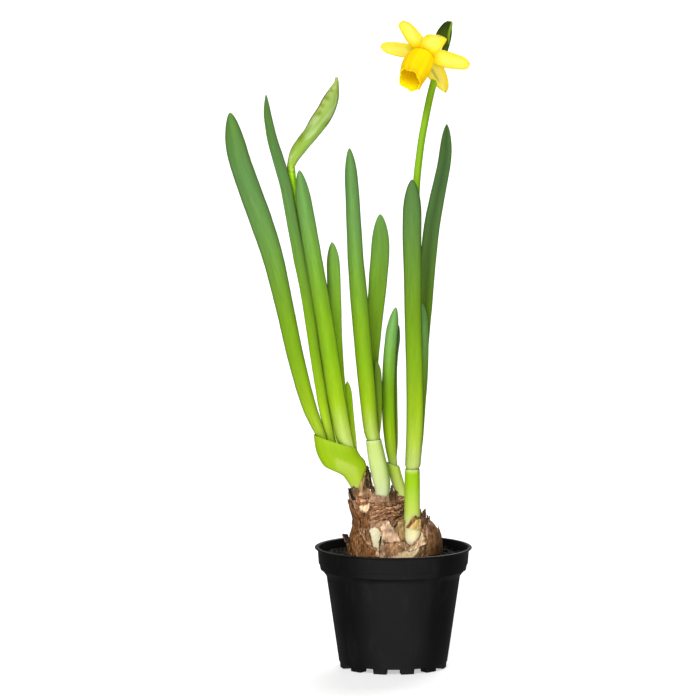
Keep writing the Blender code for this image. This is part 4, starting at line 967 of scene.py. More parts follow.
# Each petal: its angle, layer, bend of its tip, fold across it, share of the full length and width, how blunt
# its tip is, how much further one side reaches than the other, and how light it is, which paints the shade
# that falls on the darker petals
PETALS = [
    (43.0, -0.3, 0.5, 0.7, 1.03, 1.06, 0.15, 0.0, 1.0),
    (158.0, 0.0, -0.6, 0.3, 1.05, 1.26, 0.1, 0.0, 1.0),
    (275.0, -0.3, -1.5, 1.0, 0.96, 1.0, 0.0, 0.0, 0.9),
    (-30.0, -1.0, 0.4, 0.3, 1.03, 1.02, 0.0, 0.0, 1.0),
    (94.0, 0.5, 2.0, 0.5, 0.93, 1.04, 0.9, -3.0, 0.97),
    (224.0, -1.0, 1.5, 0.6, 1.16, 1.22, -0.5, 0.0, 0.85),
]
CORONA_WALL = 0.5
CORONA_SIDES = 144
# How much longer the mouth of the trumpet is on one side, shorter on the other and longer at its lip, and
# how far its left side bulges and its right side is drawn in
CORONA_LONG_SIDE = 3.4
CORONA_SHORT_SIDE = 1.2
CORONA_LIP = 2.2
CORONA_LEFT_BULGE = 1.2
CORONA_NARROWING = 1.3
# The inside is paler than the outside: painted light that makes up for the shade inside the trumpet
TRUMPET_INSIDE = [
    (0.0, (0.99, 0.65, 0.001)), (0.65, (0.99, 0.74, 0.001)), (0.85, (0.99, 0.80, 0.002)),
    (1.0, (0.99, 0.81, 0.003)),
]
TRUMPET_OUTSIDE = [
    (0.0, (0.97, 0.71, 0.003)), (0.5, (0.97, 0.68, 0.002)), (0.85, (0.97, 0.64, 0.002)),
    (1.0, (0.97, 0.58, 0.002)),
]
STAMENS = 6
STAMEN_CIRCLE = 2.1
TUBE_COLOUR = (0.80, 0.72, 0.03)
STAMEN_BASE_COLOUR = (0.80, 0.62, 0.05)
STAMEN_COLOUR = (0.92, 0.50, 0.02)
STYLE_COLOUR = (0.92, 0.60, 0.02)


def on_axis(distance, radius, turn):
    """A point of the flower, round its axis."""
    up = FLOWER_SIDE.cross(FLOWER_AXIS)
    return (FLOWER_CENTRE + FLOWER_AXIS * distance
            + (FLOWER_SIDE * math.cos(turn) + up * math.sin(turn)) * radius)


def petal_tint(share, u, folded):
    """The colour of a petal at a share of its length and a place across it, with painted shade at its edges.
    """
    pale = (1.0 - abs(u)) * step(0.15, 0.45, share) * (1.0 - 0.5 * step(0.75, 1.0, share))
    colour = mix((0.90, 0.68, 0.012), (0.92, 0.76, 0.13), min(1.2 * pale, 1.0))
    colour = mix((0.93, 0.68, 0.002), colour, step(0.05, 0.35, share))
    # Darker edges and tip: painted shade
    rim = step(0.78, 1.0, abs(u)) + step(0.94, 1.0, share)
    colour = mix(colour, (0.70, 0.47, 0.02), min(0.6 * rim, 0.7))
    if not folded:
        return colour
    # A folded petal gets painted olive shade along its fold
    along_fold = step(0.2, 0.4, share) * (1.0 - step(0.6, 0.85, share))
    fold_shade = 0.8 * along_fold * math.exp(-((u + 0.35 - 0.3 * share) / 0.13) ** 2)
    return mix(colour, (0.34, 0.33, 0.012), fold_shade)


def petal(number, angle, layer, bend, fold, long_share, wide_share, blunt, slant, light):
    """One petal: a thin cupped blade with a soft midrib, a wavy edge and a small point at its tip.

    A petal whose bluntness is below 0 has painted olive shade along a fold.
    """
    out = on_axis(0.0, 1.0, math.radians(angle)) - FLOWER_CENTRE
    across = FLOWER_AXIS.cross(out)
    stop = PETAL_STOP - 0.18 * blunt
    shoulder = PETAL_SHOULDER + 0.06 * blunt
    rings = []
    for row in range(PETAL_ROWS + 1):
        share = (row / PETAL_ROWS) ** 0.85
        radius = PETAL_ROOT + (PETAL_LENGTH * long_share - PETAL_ROOT) * share
        swell = math.sin(math.pi * (PETAL_START + (stop - PETAL_START) * share)) ** PETAL_FULLNESS
        rounding = math.sqrt(max(1.0 - (max(share - shoulder, 0.0) / (1.0 - shoulder)) ** 2, 0.0))
        width = max(PETAL_WIDTH * wide_share * swell * rounding, 0.35)
        centre = FLOWER_CENTRE + out * radius + FLOWER_AXIS * (layer + bend * share * share)
        ring = []
        for u, side in there_and_back(PETAL_ACROSS):
            wave = 0.35 * math.sin(5.0 * share + 3.0 * number + 2.0 * u) * share * abs(u) ** 2
            crease = -0.35 * math.exp(-(u / 0.16) ** 2) * (1.0 - share) - 0.06 * math.cos(6.0 * u) * share
            lift = fold * share * u * u + wave + crease
            full = PETAL_THICKNESS * (1.0 if abs(u) < 0.95 else 0.5)
            place = centre + across * (u * width / 2.0) + FLOWER_AXIS * (lift + side * full / 2.0)
            place += out * (slant * u * share * share * rounding)
            # How light a petal is paints the shade that falls on it
            colour = shade(petal_tint(share, u, blunt < 0.0), light)
            ring.append((place, colour, (u * width / 2.0, 3.0 * side + 9.0 * number, radius)))
        rings.append(ring)
    return shell(rings)


def axis_body(rows, sides, colour, circle=0.0, circle_turn=0.0):
    """A closed turned body on the flower's axis, or on a line beside it."""
    beside = on_axis(0.0, circle, circle_turn) - FLOWER_CENTRE
    rings = []
    for distance, radius in rows:
        ring = []
        for turn in turns_of(sides):
            grain = (radius * math.cos(turn), radius * math.sin(turn), distance)
            ring.append((on_axis(distance, radius, turn) + beside, colour, grain))
        rings.append(ring)
    return shell(rings)


def corona_ring(distance, radius, inner):
    """One ring of the trumpet, which is ribbed lengthwise and frilled at its mouth."""
    share = distance / CORONA[-1][0]
    flare = max(share - 0.45, 0.0) / 0.55
    ring = []
    for turn in turns_of(CORONA_SIDES):
        lobes = math.sin(6.0 * turn) + 0.4 * math.sin(13.0 * turn + 1.0) + 0.15 * math.sin(21.0 * turn + 2.0)
        ribs = 0.016 * math.cos(12.0 * turn) + 0.010 * math.cos(30.0 * turn)
        lobe = 0.5 * flare * flare * (math.cos(6.0 * turn) + 0.3 * math.cos(17.0 * turn))
        wavy = radius * (1.0 + ribs * 0.5 + 0.055 * flare * flare * lobes)
        wavy += CORONA_LEFT_BULGE * math.sin(math.pi * min(share, 1.0)) * facing(turn, 10.0, 100.0)
        wavy -= CORONA_NARROWING * flare * facing(turn, 175.0, 80.0)
        longer = CORONA_LONG_SIDE * facing(turn, 165.0, 110.0) - CORONA_SHORT_SIDE * facing(turn, 0.0, 80.0)
        longer += CORONA_LIP * facing(turn, 285.0, 95.0)
        # The paler inside colours paint light into the trumpet's shaded inside
        colour = ramp(TRUMPET_INSIDE if inner else TRUMPET_OUTSIDE, share)
        if not inner:
            colour = mix(colour, (0.97, 0.60, 0.001), 0.6 * facing(turn, 20.0, 55.0))
        fleck = max(noise.noise(Vector((9.0 * math.cos(turn), 9.0 * math.sin(turn), 0.0))), 0.0)
        colour = mix(colour, (0.80, 0.40, 0.02), fleck * step(0.85, 1.0, share))
        grain = (radius * math.cos(turn), radius * math.sin(turn), distance)
        ring.append((on_axis(distance + lobe + longer * flare, wavy, turn), colour, grain))
    return ring


def make_flower(petal_skin, corona_skin, stamen_skin):
    """The flower's tube, petals, trumpet, stamens and style."""
    piece("flower_tube", axis_body(spline(TUBE, 4), 48, TUBE_COLOUR), petal_skin, "petal_yellow", "perianth")
    for number, values in enumerate(PETALS):
        piece(f"petal_{number + 1}", petal(number, *values), petal_skin, "petal_yellow", "perianth")
    fine = spline(CORONA, 6)
    mouth, mouth_radius = fine[-1]
    foot, foot_radius = fine[0]
    rings = [corona_ring(distance, radius, False) for distance, radius in fine]
    rings += [corona_ring(mouth + 0.15, mouth_radius - 0.5 * CORONA_WALL, True)]
    rings += [corona_ring(distance, radius - CORONA_WALL, True) for distance, radius in reversed(fine[6:])]
    rings += [corona_ring(foot + CORONA_WALL, foot_radius - CORONA_WALL, True)]
    piece("trumpet", shell(rings), corona_skin, "corona_yellow", "corona")
    base = axis_body(STAMEN_BASE, 32, STAMEN_BASE_COLOUR)
    piece("stamen_base", base, stamen_skin, "stamen_yellow", "stamens")
    for i in range(STAMENS):
        turn = 2.0 * math.pi * (i + 0.5) / STAMENS
        body = axis_body(spline(STAMEN, 3), 14, STAMEN_COLOUR, STAMEN_CIRCLE, turn)
        piece(f"stamen_{i + 1}", body, stamen_skin, "stamen_yellow", "stamens")
    piece("style", axis_body(spline(STYLE, 3), 16, STYLE_COLOUR), stamen_skin, "stamen_yellow", "stamens")


# Bulb skins, as seen from the front. Heights are measured square to the view, so they take in its slope.
VIEW_SLOPE = 0.105
# Bare patches and stains: corners as x and height, colour, how deep they lie below the skin and how blotched
# they are
BULB_PATCHES = [
    ([(-23.4, 91.5), (-17.8, 90.4), (-14.2, 87.0), (-12.4, 83.0), (-14.4, 79.6), (-19.0, 80.0),
      (-24.4, 82.5)],
     (0.20, 0.088, 0.031), 0.0, 0.8),
    ([(-24.8, 82.1), (-21.1, 80.8), (-19.5, 79.3), (-17.9, 75.8), (-15.4, 71.4), (-11.6, 68.3), (-9.7, 66.4),
      (-10.4, 62.9), (-26.7, 62.9), (-26.6, 68.9), (-25.5, 75.8)],
     (0.27, 0.12, 0.045), 0.0, 0.8),
    ([(-13.8, 83.4), (-9.1, 85.2), (-5.3, 85.9), (-6.6, 83.4), (-7.5, 80.5), (-12.2, 80.5)],
     (0.4, 0.235, 0.14), 0.0, 0.5),
    ([(-21.1, 97.2), (-19.8, 100.0), (-16.0, 100.3), (-12.2, 98.1), (-11.6, 94.7), (-12.2, 93.4),
      (-19.8, 92.5), (-21.1, 94.7)],
     (0.33, 0.15, 0.07), 0.0, 0.7),
    # The next three, peach patches on the rings of the nose, are painted highlights
    ([(-19.6, 95.2), (-18.6, 96.2), (-16.6, 96.5), (-14.6, 95.9), (-15.4, 95.1), (-17.6, 95.0)],
     (0.72, 0.42, 0.25), 0.0, 0.5),
    ([(-18.8, 98.4), (-16.6, 99.0), (-14.4, 98.2), (-15.2, 97.5), (-17.2, 97.9)],
     (0.62, 0.36, 0.22), 0.0, 0.5),
    ([(-15.4, 97.5), (-12.6, 97.8), (-12.1, 96.3), (-14.3, 95.6)], (0.56, 0.33, 0.2), 0.0, 0.4),
    ([(-20.4, 92.0), (-17.4, 92.7), (-13.2, 93.8), (-14.2, 90.8), (-15.6, 88.2), (-17.0, 88.9),
      (-18.9, 90.2)],
     (1.0, 0.68, 0.43), 0.4, 0.3),
    ([(-14.1, 79.0), (-13.2, 80.0), (-11.0, 80.3), (-8.5, 80.0), (-7.7, 77.7), (-6.9, 74.5), (-6.7, 70.1),
      (-8.5, 67.9), (-10.2, 68.3), (-12.2, 70.8), (-13.5, 75.5)],
     (0.86, 0.78, 0.53), 0.45, 0.12),
    ([(-7.2, 80.8), (-6.7, 82.7), (-5.6, 84.3), (-4.1, 85.4), (-2.2, 83.4), (-0.3, 79.6), (2.2, 76.4),
      (4.8, 73.3), (2.2, 72.5), (-2.8, 72.3), (-6.6, 73.2), (-7.3, 77.1)],
     (0.98, 0.64, 0.41), 0.0, 0.25),
    ([(1.0, 80.5), (2.9, 84.1), (5.9, 85.9), (6.1, 75.2), (4.0, 77.4), (2.2, 79.0)],
     (0.33, 0.21, 0.09), 0.2, 0.3),
    # A near-black patch sunk into the skin: painted shade in a hollow
    ([(0.0, 82.1), (1.9, 83.0), (1.7, 81.0), (0.5, 80.6)], (0.03, 0.015, 0.006), 0.5, 0.0),
    ([(-6.9, 68.6), (-5.3, 71.1), (-2.2, 72.2), (3.5, 72.2), (7.3, 70.5), (7.9, 68.8), (4.8, 66.9),
      (1.0, 65.0), (-2.8, 62.9), (-5.0, 63.5), (-7.7, 67.0)],
     (0.48, 0.26, 0.125), 0.0, 0.6),
    ([(-4.1, 62.7), (1.0, 65.0), (4.8, 66.9), (8.5, 68.9), (11.7, 71.4), (15.8, 74.5), (16.6, 72.0),
      (13.6, 66.4), (9.8, 62.7)],
     (1.0, 0.72, 0.42), 0.0, 0.22),
    ([(-9.7, 66.9), (-7.7, 67.1), (-5.2, 63.8), (-4.6, 62.7), (-8.3, 62.7), (-10.2, 65.6)],
     (0.95, 0.68, 0.42), 0.3, 0.1),
    ([(15.8, 74.5), (16.8, 77.7), (18.9, 79.3), (19.9, 73.9), (22.1, 69.8), (23.6, 66.4), (23.0, 62.7),
      (9.8, 62.7), (13.6, 66.4)],
     (0.245, 0.125, 0.050), 0.0, 0.9),
    ([(19.2, 83.4), (21.8, 82.4), (24.9, 79.6), (26.8, 75.8), (27.3, 70.8), (26.5, 66.4), (23.6, 66.4),
      (21.8, 70.1), (19.9, 73.9), (18.9, 79.0)],
     (0.20, 0.097, 0.035), 0.0, 0.6),
    ([(18.4, 82.7), (19.9, 84.1), (21.0, 83.2), (19.9, 79.0), (20.2, 73.9), (19.2, 74.5), (18.4, 79.0)],
     (0.5, 0.31, 0.21), 0.0, 0.3),
]
# Edges of skin layers and deep creases: corners as x and height, half width, and the shade of the line, which
# is dark below 1, painted shade in a crease or beside a ridge, and light above 1, a pale edge with a painted
# highlight on it
BULB_LINES = [
    ([(-19.8, 79.5), (-17.9, 75.8), (-15.4, 71.4), (-11.6, 68.3), (-8.8, 67.1)], 0.4, 2.3),
    ([(-20.4, 79.1), (-18.5, 75.3), (-16.0, 70.8), (-12.1, 67.5), (-9.4, 66.4)], 0.3, 0.35),
    ([(-9.4, 67.1), (-7.2, 69.6), (-5.3, 71.0), (-2.2, 72.2), (3.5, 72.3), (6.6, 70.8), (8.4, 70.0),
      (11.1, 71.4), (13.9, 74.0), (16.2, 78.0)],
     0.34, 0.25),
    ([(-14.4, 79.1), (-13.6, 75.5), (-12.4, 70.6), (-10.2, 67.9)], 0.25, 0.4),
    ([(-7.5, 80.7), (-7.5, 77.1), (-6.6, 73.9), (-6.6, 69.8)], 0.28, 0.35),
    ([(-21.1, 92.2), (-18.5, 90.2), (-15.6, 88.3), (-13.8, 90.7), (-11.7, 93.3)], 0.32, 0.35),
    ([(-21.2, 94.0), (-18.2, 93.3), (-15.0, 94.3), (-12.0, 95.9)], 0.4, 0.25),
    ([(-20.8, 96.6), (-18.4, 97.4), (-15.4, 97.0), (-12.4, 98.0)], 0.32, 0.3),
    ([(-20.1, 100.0), (-16.0, 100.6), (-11.9, 98.3), (-11.0, 94.7)], 0.3, 2.0),
    ([(9.8, 63.2), (13.6, 68.3), (16.2, 73.6), (17.9, 78.0)], 0.3, 1.9),
    ([(11.2, 63.1), (14.8, 68.1), (17.4, 73.3), (18.3, 76.4)], 0.26, 0.4),
    ([(12.6, 63.1), (16.1, 67.9), (18.5, 73.8)], 0.26, 2.0),
    ([(14.0, 63.1), (17.1, 67.3), (19.2, 72.7)], 0.26, 0.4),
    ([(15.3, 63.1), (18.1, 66.9), (19.9, 71.7)], 0.26, 1.9),
    ([(18.6, 63.2), (20.8, 66.4), (21.4, 69.8)], 0.26, 1.7),
    ([(24.0, 79.7), (25.3, 77.4), (25.9, 74.9)], 0.26, 1.9),
    ([(26.2, 76.4), (27.1, 71.4), (26.3, 66.4)], 0.35, 0.35),
    ([(-23.6, 82.7), (-20.4, 84.9), (-16.0, 85.7), (-11.6, 85.2)], 0.35, 0.4),
    ([(-23.0, 87.6), (-21.1, 85.2), (-22.0, 82.4)], 0.28, 1.9),
    ([(-6.9, 81.0), (-5.8, 83.9), (-4.1, 85.6), (-2.0, 83.5), (0.0, 79.5), (2.5, 76.3), (5.1, 73.0)],
     0.28, 0.35),
    ([(-24.2, 63.8), (-23.1, 68.9), (-23.5, 73.9)], 0.3, 0.45),
    ([(-21.1, 63.8), (-20.4, 68.9), (-21.1, 74.5)], 0.26, 1.8),
    ([(-17.6, 63.8), (-17.6, 68.3), (-18.5, 72.7)], 0.3, 0.45),
    ([(-0.3, 63.8), (3.5, 65.6), (8.5, 67.9), (12.9, 71.4)], 0.3, 0.55),
]
BULB_BROWN = (0.220, 0.100, 0.038)
BULB_PALE = (0.45, 0.25, 0.13)
# Dark skin, which also paints the shade in cracks and creases
BULB_DARK_AND_CREVICE_SHADE = (0.038, 0.016, 0.006)
BULB_STAIN = (0.32, 0.14, 0.05)
BULB_FIBRE = (0.66, 0.44, 0.27)
# The colour of pale raised edges, which also paints their highlight
BULB_PALE_EDGE_AND_HIGHLIGHT = (0.40, 0.25, 0.15)
# The neck folds: the colour between them, the painted shade in their hollows and the painted highlight on
# their tops, each with how marked it is
NECK_COLOUR = (0.32, 0.15, 0.066, 0.8)
NECK_HOLLOW_SHADE = (0.045, 0.018, 0.008, 1.0)
NECK_TOP_HIGHLIGHT = (0.80, 0.47, 0.29, 0.6)
NECK_WAVES = (2.3, 1.25)
DAMP_COLOUR = (0.03, 0.018, 0.010, 1.0)
# Below the first height a bulb stands in the soil and needs no finish, and between the others it dries out
BULB_UNSEEN = 60.0
BULB_DAMP = (61.0, 65.0)
BULB_VOXEL = 0.5
BULB_SMOOTHINGS = 3


def segment_distance(across, height, start, stop):
    """The distance from a place to a straight line between two others, in the front view."""
    dx = stop[0] - start[0]
    dz = stop[1] - start[1]
    share = clamp(((across - start[0]) * dx + (height - start[1]) * dz) / (dx * dx + dz * dz))
    return math.hypot(across - start[0] - dx * share, height - start[1] - dz * share)


def patch_depth(across, height, corners):
    """How far inside an outline a place is, in millimetres; outside it is negative."""
    inside = False
    nearest = 99.0
    for start, stop in zip(corners, corners[1:] + corners[:1]):
        if (start[1] > height) != (stop[1] > height):
            if across < start[0] + (height - start[1]) * (stop[0] - start[0]) / (stop[1] - start[1]):
                inside = not inside
        nearest = min(nearest, segment_distance(across, height, start, stop))
    return nearest if inside else -nearest


def bulb_finish(place):
    """The tint of the bulb skin at a place, and how far the skin is raised there, in millimetres.

    Patches and lines lie where the front view has them, and the same outlines turned round mark the far side.
    Cracks and dark lines are painted shade, and light lines are painted highlights on raised edges.
    """
    x, y, z = place
    front = y < 2.0
    rough = 1.0
    across = x if front else 2.0 - x
    height = z + VIEW_SLOPE * y if front else z + 2.5
    large = noise.noise(Vector((x, y, z)) / 5.0)
    small = noise.noise(Vector((x / 1.6, y / 1.6, z / 2.6)))
    lean = 0.10 - 0.50 * step(6.0, 14.0, x)
    fibre = noise.noise(Vector(((x + lean * (z - 70.0)) / 0.62, y / 0.9, z / 8.0)))
    crack = abs(noise.noise(Vector((x / 2.2, y / 2.2, z / 3.4 + 9.0))))
    across += 0.8 * noise.noise(Vector((x / 3.0, y / 3.0, z / 3.0 + 30.0)))
    height += 0.8 * noise.noise(Vector((x / 3.0, y / 3.0, z / 3.0 + 60.0)))
    tint = mix(BULB_BROWN, BULB_PALE, clamp(0.5 * small + 0.8 * large + 0.30))
    tint = mix(tint, BULB_STAIN, clamp(-1.4 * large, 0.0, 0.8))
    tint = mix(tint, BULB_DARK_AND_CREVICE_SHADE, 0.8 * step(0.14, 0.50, -small - 0.35 * large))
    tint = mix(tint, BULB_FIBRE, 0.60 * step(0.14, 0.42, fibre))
    tint = mix(tint, BULB_DARK_AND_CREVICE_SHADE, 0.55 * step(0.16, 0.45, -fibre))
    # Painted shade in the net of cracks
    tint = mix(tint, BULB_DARK_AND_CREVICE_SHADE, 0.75 * (1.0 - step(0.0, 0.05, crack)))
    raised = 0.18 * small + 0.14 * fibre + 0.32 * large - 0.28 * (1.0 - step(0.0, 0.08, crack))
    ragged = 0.45 * noise.noise(Vector((x / 1.3, y / 1.3, z / 1.3)))
    ragged += 0.25 * noise.noise(Vector((x, y, z)) / 0.5)
    for corners, colour, depth, blotch in BULB_PATCHES:
        share = step(-0.15, 0.30, patch_depth(across, height, corners) + ragged)
        if share > 0.0:
            # Patches are darker in the cracks too: painted shade
            tone = 1.0 + blotch * (0.9 * small + 1.1 * fibre) - blotch * 0.6 * (1.0 - step(0.0, 0.10, crack))
            tint = mix(tint, shade(colour, max(tone, 0.2)), share)
            rough += (clamp(1.6 * blotch, 0.12) - rough) * share
            raised = raised * (1.0 - 0.5 * share) - depth * share
    broken = 0.55 + 0.9 * noise.noise(Vector((x / 2.0, y / 2.0, z / 2.0 + 90.0)))
    for corners, width, change in BULB_LINES:
        near = min(segment_distance(across, height, a, b) for a, b in zip(corners, corners[1:]))
        share = (1.0 - step(0.2 * width, 1.2 * width, near + 0.5 * ragged)) * clamp(broken + 0.35)
        if share > 0.0:
            # Light lines paint a highlight on a pale raised edge, and dark lines paint shade
            base = mix(tint, BULB_PALE_EDGE_AND_HIGHLIGHT, 0.5) if change > 1.0 else tint
            tint = mix(tint, shade(base, change), 0.9 * share)
            raised += (0.22 if change > 1.0 else -0.35) * share
    return (*tint, rough), raised


def neck_folds(place, tint, raised):
    """Rings of folded skin round the neck of the left bulb, with painted shade and highlights on them."""
    x, y, z = place
    share = step(82.5, 85.5, z) * (1.0 - step(96.0, 100.0, z)) * step(-14.0, -11.0, x)
    if share <= 0.0:
        return tint, raised
    bend = 0.95 * noise.noise(Vector((x / 4.5, y / 4.5, z / 5.0)))
    bend += 0.45 * noise.noise(Vector((x, y, z)) / 1.6)
    level = z - 0.16 * x + 0.012 * (x + 4.0) ** 2
    long_wave, short_wave = NECK_WAVES
    wave = math.sin(2.0 * math.pi * (level / long_wave + bend))
    wave += 0.55 * math.sin(2.0 * math.pi * (level / short_wave + 1.4 * bend))
    wave = clamp(wave, -1.0, 1.0)
    patchy = clamp(0.55 + 1.1 * noise.noise(Vector((x / 2.2, y / 2.2, z / 1.4))))
    tint = mix(tint, NECK_COLOUR, 0.65 * share)
    # Painted shade in the hollows and painted highlights on the tops of the folds
    tint = mix(tint, NECK_HOLLOW_SHADE, 0.88 * share * step(0.2, 0.95, -wave))
    tint = mix(tint, NECK_TOP_HIGHLIGHT, patchy * share * step(0.25, 0.9, wave))
    return tint, raised * (1.0 - 0.4 * share) + 0.30 * share * wave


def make_bulb(node, skin):
    """A bulb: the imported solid's own form, remeshed fine, with raised skins, folds and bare patches."""
    body = remeshed(node, BULB_VOXEL)
    for _ in range(BULB_SMOOTHINGS):
        bmesh.ops.smooth_vert(
            body, verts=body.verts, factor=0.5, use_axis_x=True, use_axis_y=True, use_axis_z=True,
        )
    body.normal_update()
    layer = body.verts.layers.float_color.new("tint")
    moves = []
    for vert in body.verts:
        place = Vector(((vert.co.x - POT_X) / MM, (vert.co.y - POT_Y) / MM, vert.co.z / MM))
        if place.z < BULB_UNSEEN:
            vert[layer] = (*BULB_DARK_AND_CREVICE_SHADE, 1.0)
            moves.append(Vector())
            continue
        tint, raised = bulb_finish(place)
        if node == "bulb_left":
            tint, raised = neck_folds(place, tint, raised)
        damp = 1.0 - step(*BULB_DAMP, place.z)
        vert[layer] = mix(tint, DAMP_COLOUR, 0.6 * damp)
        moves.append(vert.normal * (raised * MM))
    for vert, move in zip(body.verts, moves):
        vert.co += move
    return piece(node + "_skin", body, skin, "bulb_skin", node)


# Pot
POT_HEIGHT = 69.0
RIM_RADIUS = 45.0
COLLAR_RADIUS = 43.5
COLLAR_LINE = 59.5
COLLAR_LINE_RADIUS = 42.7
COLLAR_FOOT = 56.3
COLLAR_FOOT_RADIUS = 41.8
SHOULDER_FOOT = 52.7
SHOULDER_RADIUS = 38.4
BASE_RADIUS = 31.1
WALL = 1.0
FEET = 12
FOOT_HEIGHT = 2.8
FOOT_INNER_RADIUS = 25.0
FOOT_NARROWING = 0.94
CENTRE_HOLE_RADIUS = 3.0
DRAIN_HOLES = 8
DRAIN_RADIUS = 3.0
DRAIN_CIRCLE = 17.5
POT_SEGMENTS = 144
SOFT_EDGE = 0.18
SOFT_EDGE_FROM = 50.0
POT_OUTSIDE = [
    (CENTRE_HOLE_RADIUS, FOOT_HEIGHT), (FOOT_INNER_RADIUS, FOOT_HEIGHT), (BASE_RADIUS - 0.3, FOOT_HEIGHT),
    (BASE_RADIUS, FOOT_HEIGHT + 0.3), (34.6, 27.0), (SHOULDER_RADIUS - 0.15, SHOULDER_FOOT - 0.6),
    (SHOULDER_RADIUS + 0.15, SHOULDER_FOOT + 0.2), (COLLAR_FOOT_RADIUS - 1.0, COLLAR_FOOT - 0.6),
    (COLLAR_FOOT_RADIUS - 0.45, COLLAR_FOOT - 0.25), (COLLAR_FOOT_RADIUS - 0.1, COLLAR_FOOT - 0.1),
    (COLLAR_FOOT_RADIUS, COLLAR_FOOT + 0.25), (COLLAR_LINE_RADIUS - 0.42, COLLAR_LINE - 0.45),
    (COLLAR_LINE_RADIUS - 0.38, COLLAR_LINE - 0.2), (COLLAR_LINE_RADIUS, COLLAR_LINE),
    (COLLAR_LINE_RADIUS + 0.06, COLLAR_LINE + 0.3), (43.3, 66.6), (COLLAR_RADIUS, 67.6),
    (RIM_RADIUS - 0.5, 68.05), (RIM_RADIUS - 0.12, 68.25), (RIM_RADIUS, 68.5), (RIM_RADIUS - 0.1, 68.8),
    (RIM_RADIUS - 0.4, POT_HEIGHT),
]
POT_INSIDE = [
    (COLLAR_RADIUS - WALL + 0.6, POT_HEIGHT), (COLLAR_RADIUS - WALL + 0.2, POT_HEIGHT - 0.15),
    (COLLAR_RADIUS - WALL, POT_HEIGHT - 0.6), (COLLAR_LINE_RADIUS - WALL - 0.2, COLLAR_LINE),
    (COLLAR_FOOT_RADIUS - WALL - 0.4, COLLAR_FOOT + 0.2), (SHOULDER_RADIUS - WALL, SHOULDER_FOOT + 0.3),
    (BASE_RADIUS - WALL, FOOT_HEIGHT + WALL), (CENTRE_HOLE_RADIUS, FOOT_HEIGHT + WALL),
]


def draw_feet(body):
    """Draws the feet down from the outer ring of the base, with a gap as wide as a foot after each."""
    period = 360.0 / FEET
    chosen = []
    for face in body.faces:
        middle = face.calc_center_median() - Vector((POT_X, POT_Y, 0.0))
        radius = math.hypot(middle.x, middle.y) / MM
        turn = math.degrees(math.atan2(middle.y, middle.x)) % period
        flat = abs(middle.z - FOOT_HEIGHT * MM) < 0.01 * MM
        if flat and radius > FOOT_INNER_RADIUS and period / 4.0 < turn < 3.0 * period / 4.0:
            chosen.append(face)
    grown = bmesh.ops.extrude_face_region(body, geom=chosen)["geom"]
    middle_radius = (FOOT_INNER_RADIUS + BASE_RADIUS) / 2.0 * MM
    for vert in [item for item in grown if isinstance(item, bmesh.types.BMVert)]:
        x = vert.co.x - POT_X
        y = vert.co.y - POT_Y
        turn = math.atan2(y, x)
        centre = math.radians((math.degrees(turn) // period + 0.5) * period)
        turn = centre + (turn - centre) * FOOT_NARROWING
        radius = middle_radius + (math.hypot(x, y) - middle_radius) * FOOT_NARROWING
        vert.co = (POT_X + radius * math.cos(turn), POT_Y + radius * math.sin(turn), 0.0)
    bmesh.ops.delete(body, geom=chosen, context="FACES_ONLY")


def make_pot(plastic):
    """The pot: a turned profile with a rolled lip and a stepped collar, feet and drainage holes."""
    body = bmesh.new()
    verts = [body.verts.new(spot((radius, 0.0, z))) for radius, z in POT_OUTSIDE + POT_INSIDE]
    edges = [body.edges.new(pair) for pair in zip(verts, verts[1:] + verts[:1])]
    bmesh.ops.spin(
        body, geom=verts + edges, cent=(POT_X, POT_Y, 0.0), axis=(0.0, 0.0, 1.0), angle=2.0 * math.pi,
        steps=POT_SEGMENTS, use_merge=True,
    )
    bmesh.ops.recalc_face_normals(body, faces=body.faces)
    draw_feet(body)
    pot = piece("nursery_pot", body, plastic, "black_plastic", "pot")
    cutters = bmesh.new()
    for i in range(DRAIN_HOLES):
        turn = 2.0 * math.pi * (i + 0.5) / DRAIN_HOLES
        middle = (DRAIN_CIRCLE * math.cos(turn), DRAIN_CIRCLE * math.sin(turn), FOOT_HEIGHT + WALL / 2.0)
        bmesh.ops.create_cone(
            cutters, cap_ends=True, segments=32, radius1=DRAIN_RADIUS * MM, radius2=DRAIN_RADIUS * MM,
            depth=4.0 * WALL * MM, matrix=Matrix.Translation(spot(middle)),
        )
    drains = add_mesh("drains", cutters)
    cut = pot.modifiers.new("drains", "BOOLEAN")
    cut.object = drains
    cut.operation = "DIFFERENCE"
    result = finished_mesh(pot)
    pot.modifiers.clear()
    pot.data = result
    bpy.data.objects.remove(drains, do_unlink=True)
    soften = pot.modifiers.new("soft_edges", "BEVEL")
    soften.width = SOFT_EDGE * MM
    soften.segments = 2
    soften.limit_method = "ANGLE"
    soften.angle_limit = math.radians(SOFT_EDGE_FROM)


# Soil
SOIL_VOXEL = 0.9
SOIL_TOP = 63.9
SOIL_BROKEN_DEPTH = 3.0
CRUMBS = 620
CRUMB_CORNERS = 12
CRUMB_RING = (14.0, 39.6)
CRUMB_SIZES = (0.35, 1.15)
CRUMB_HEIGHT = 0.6


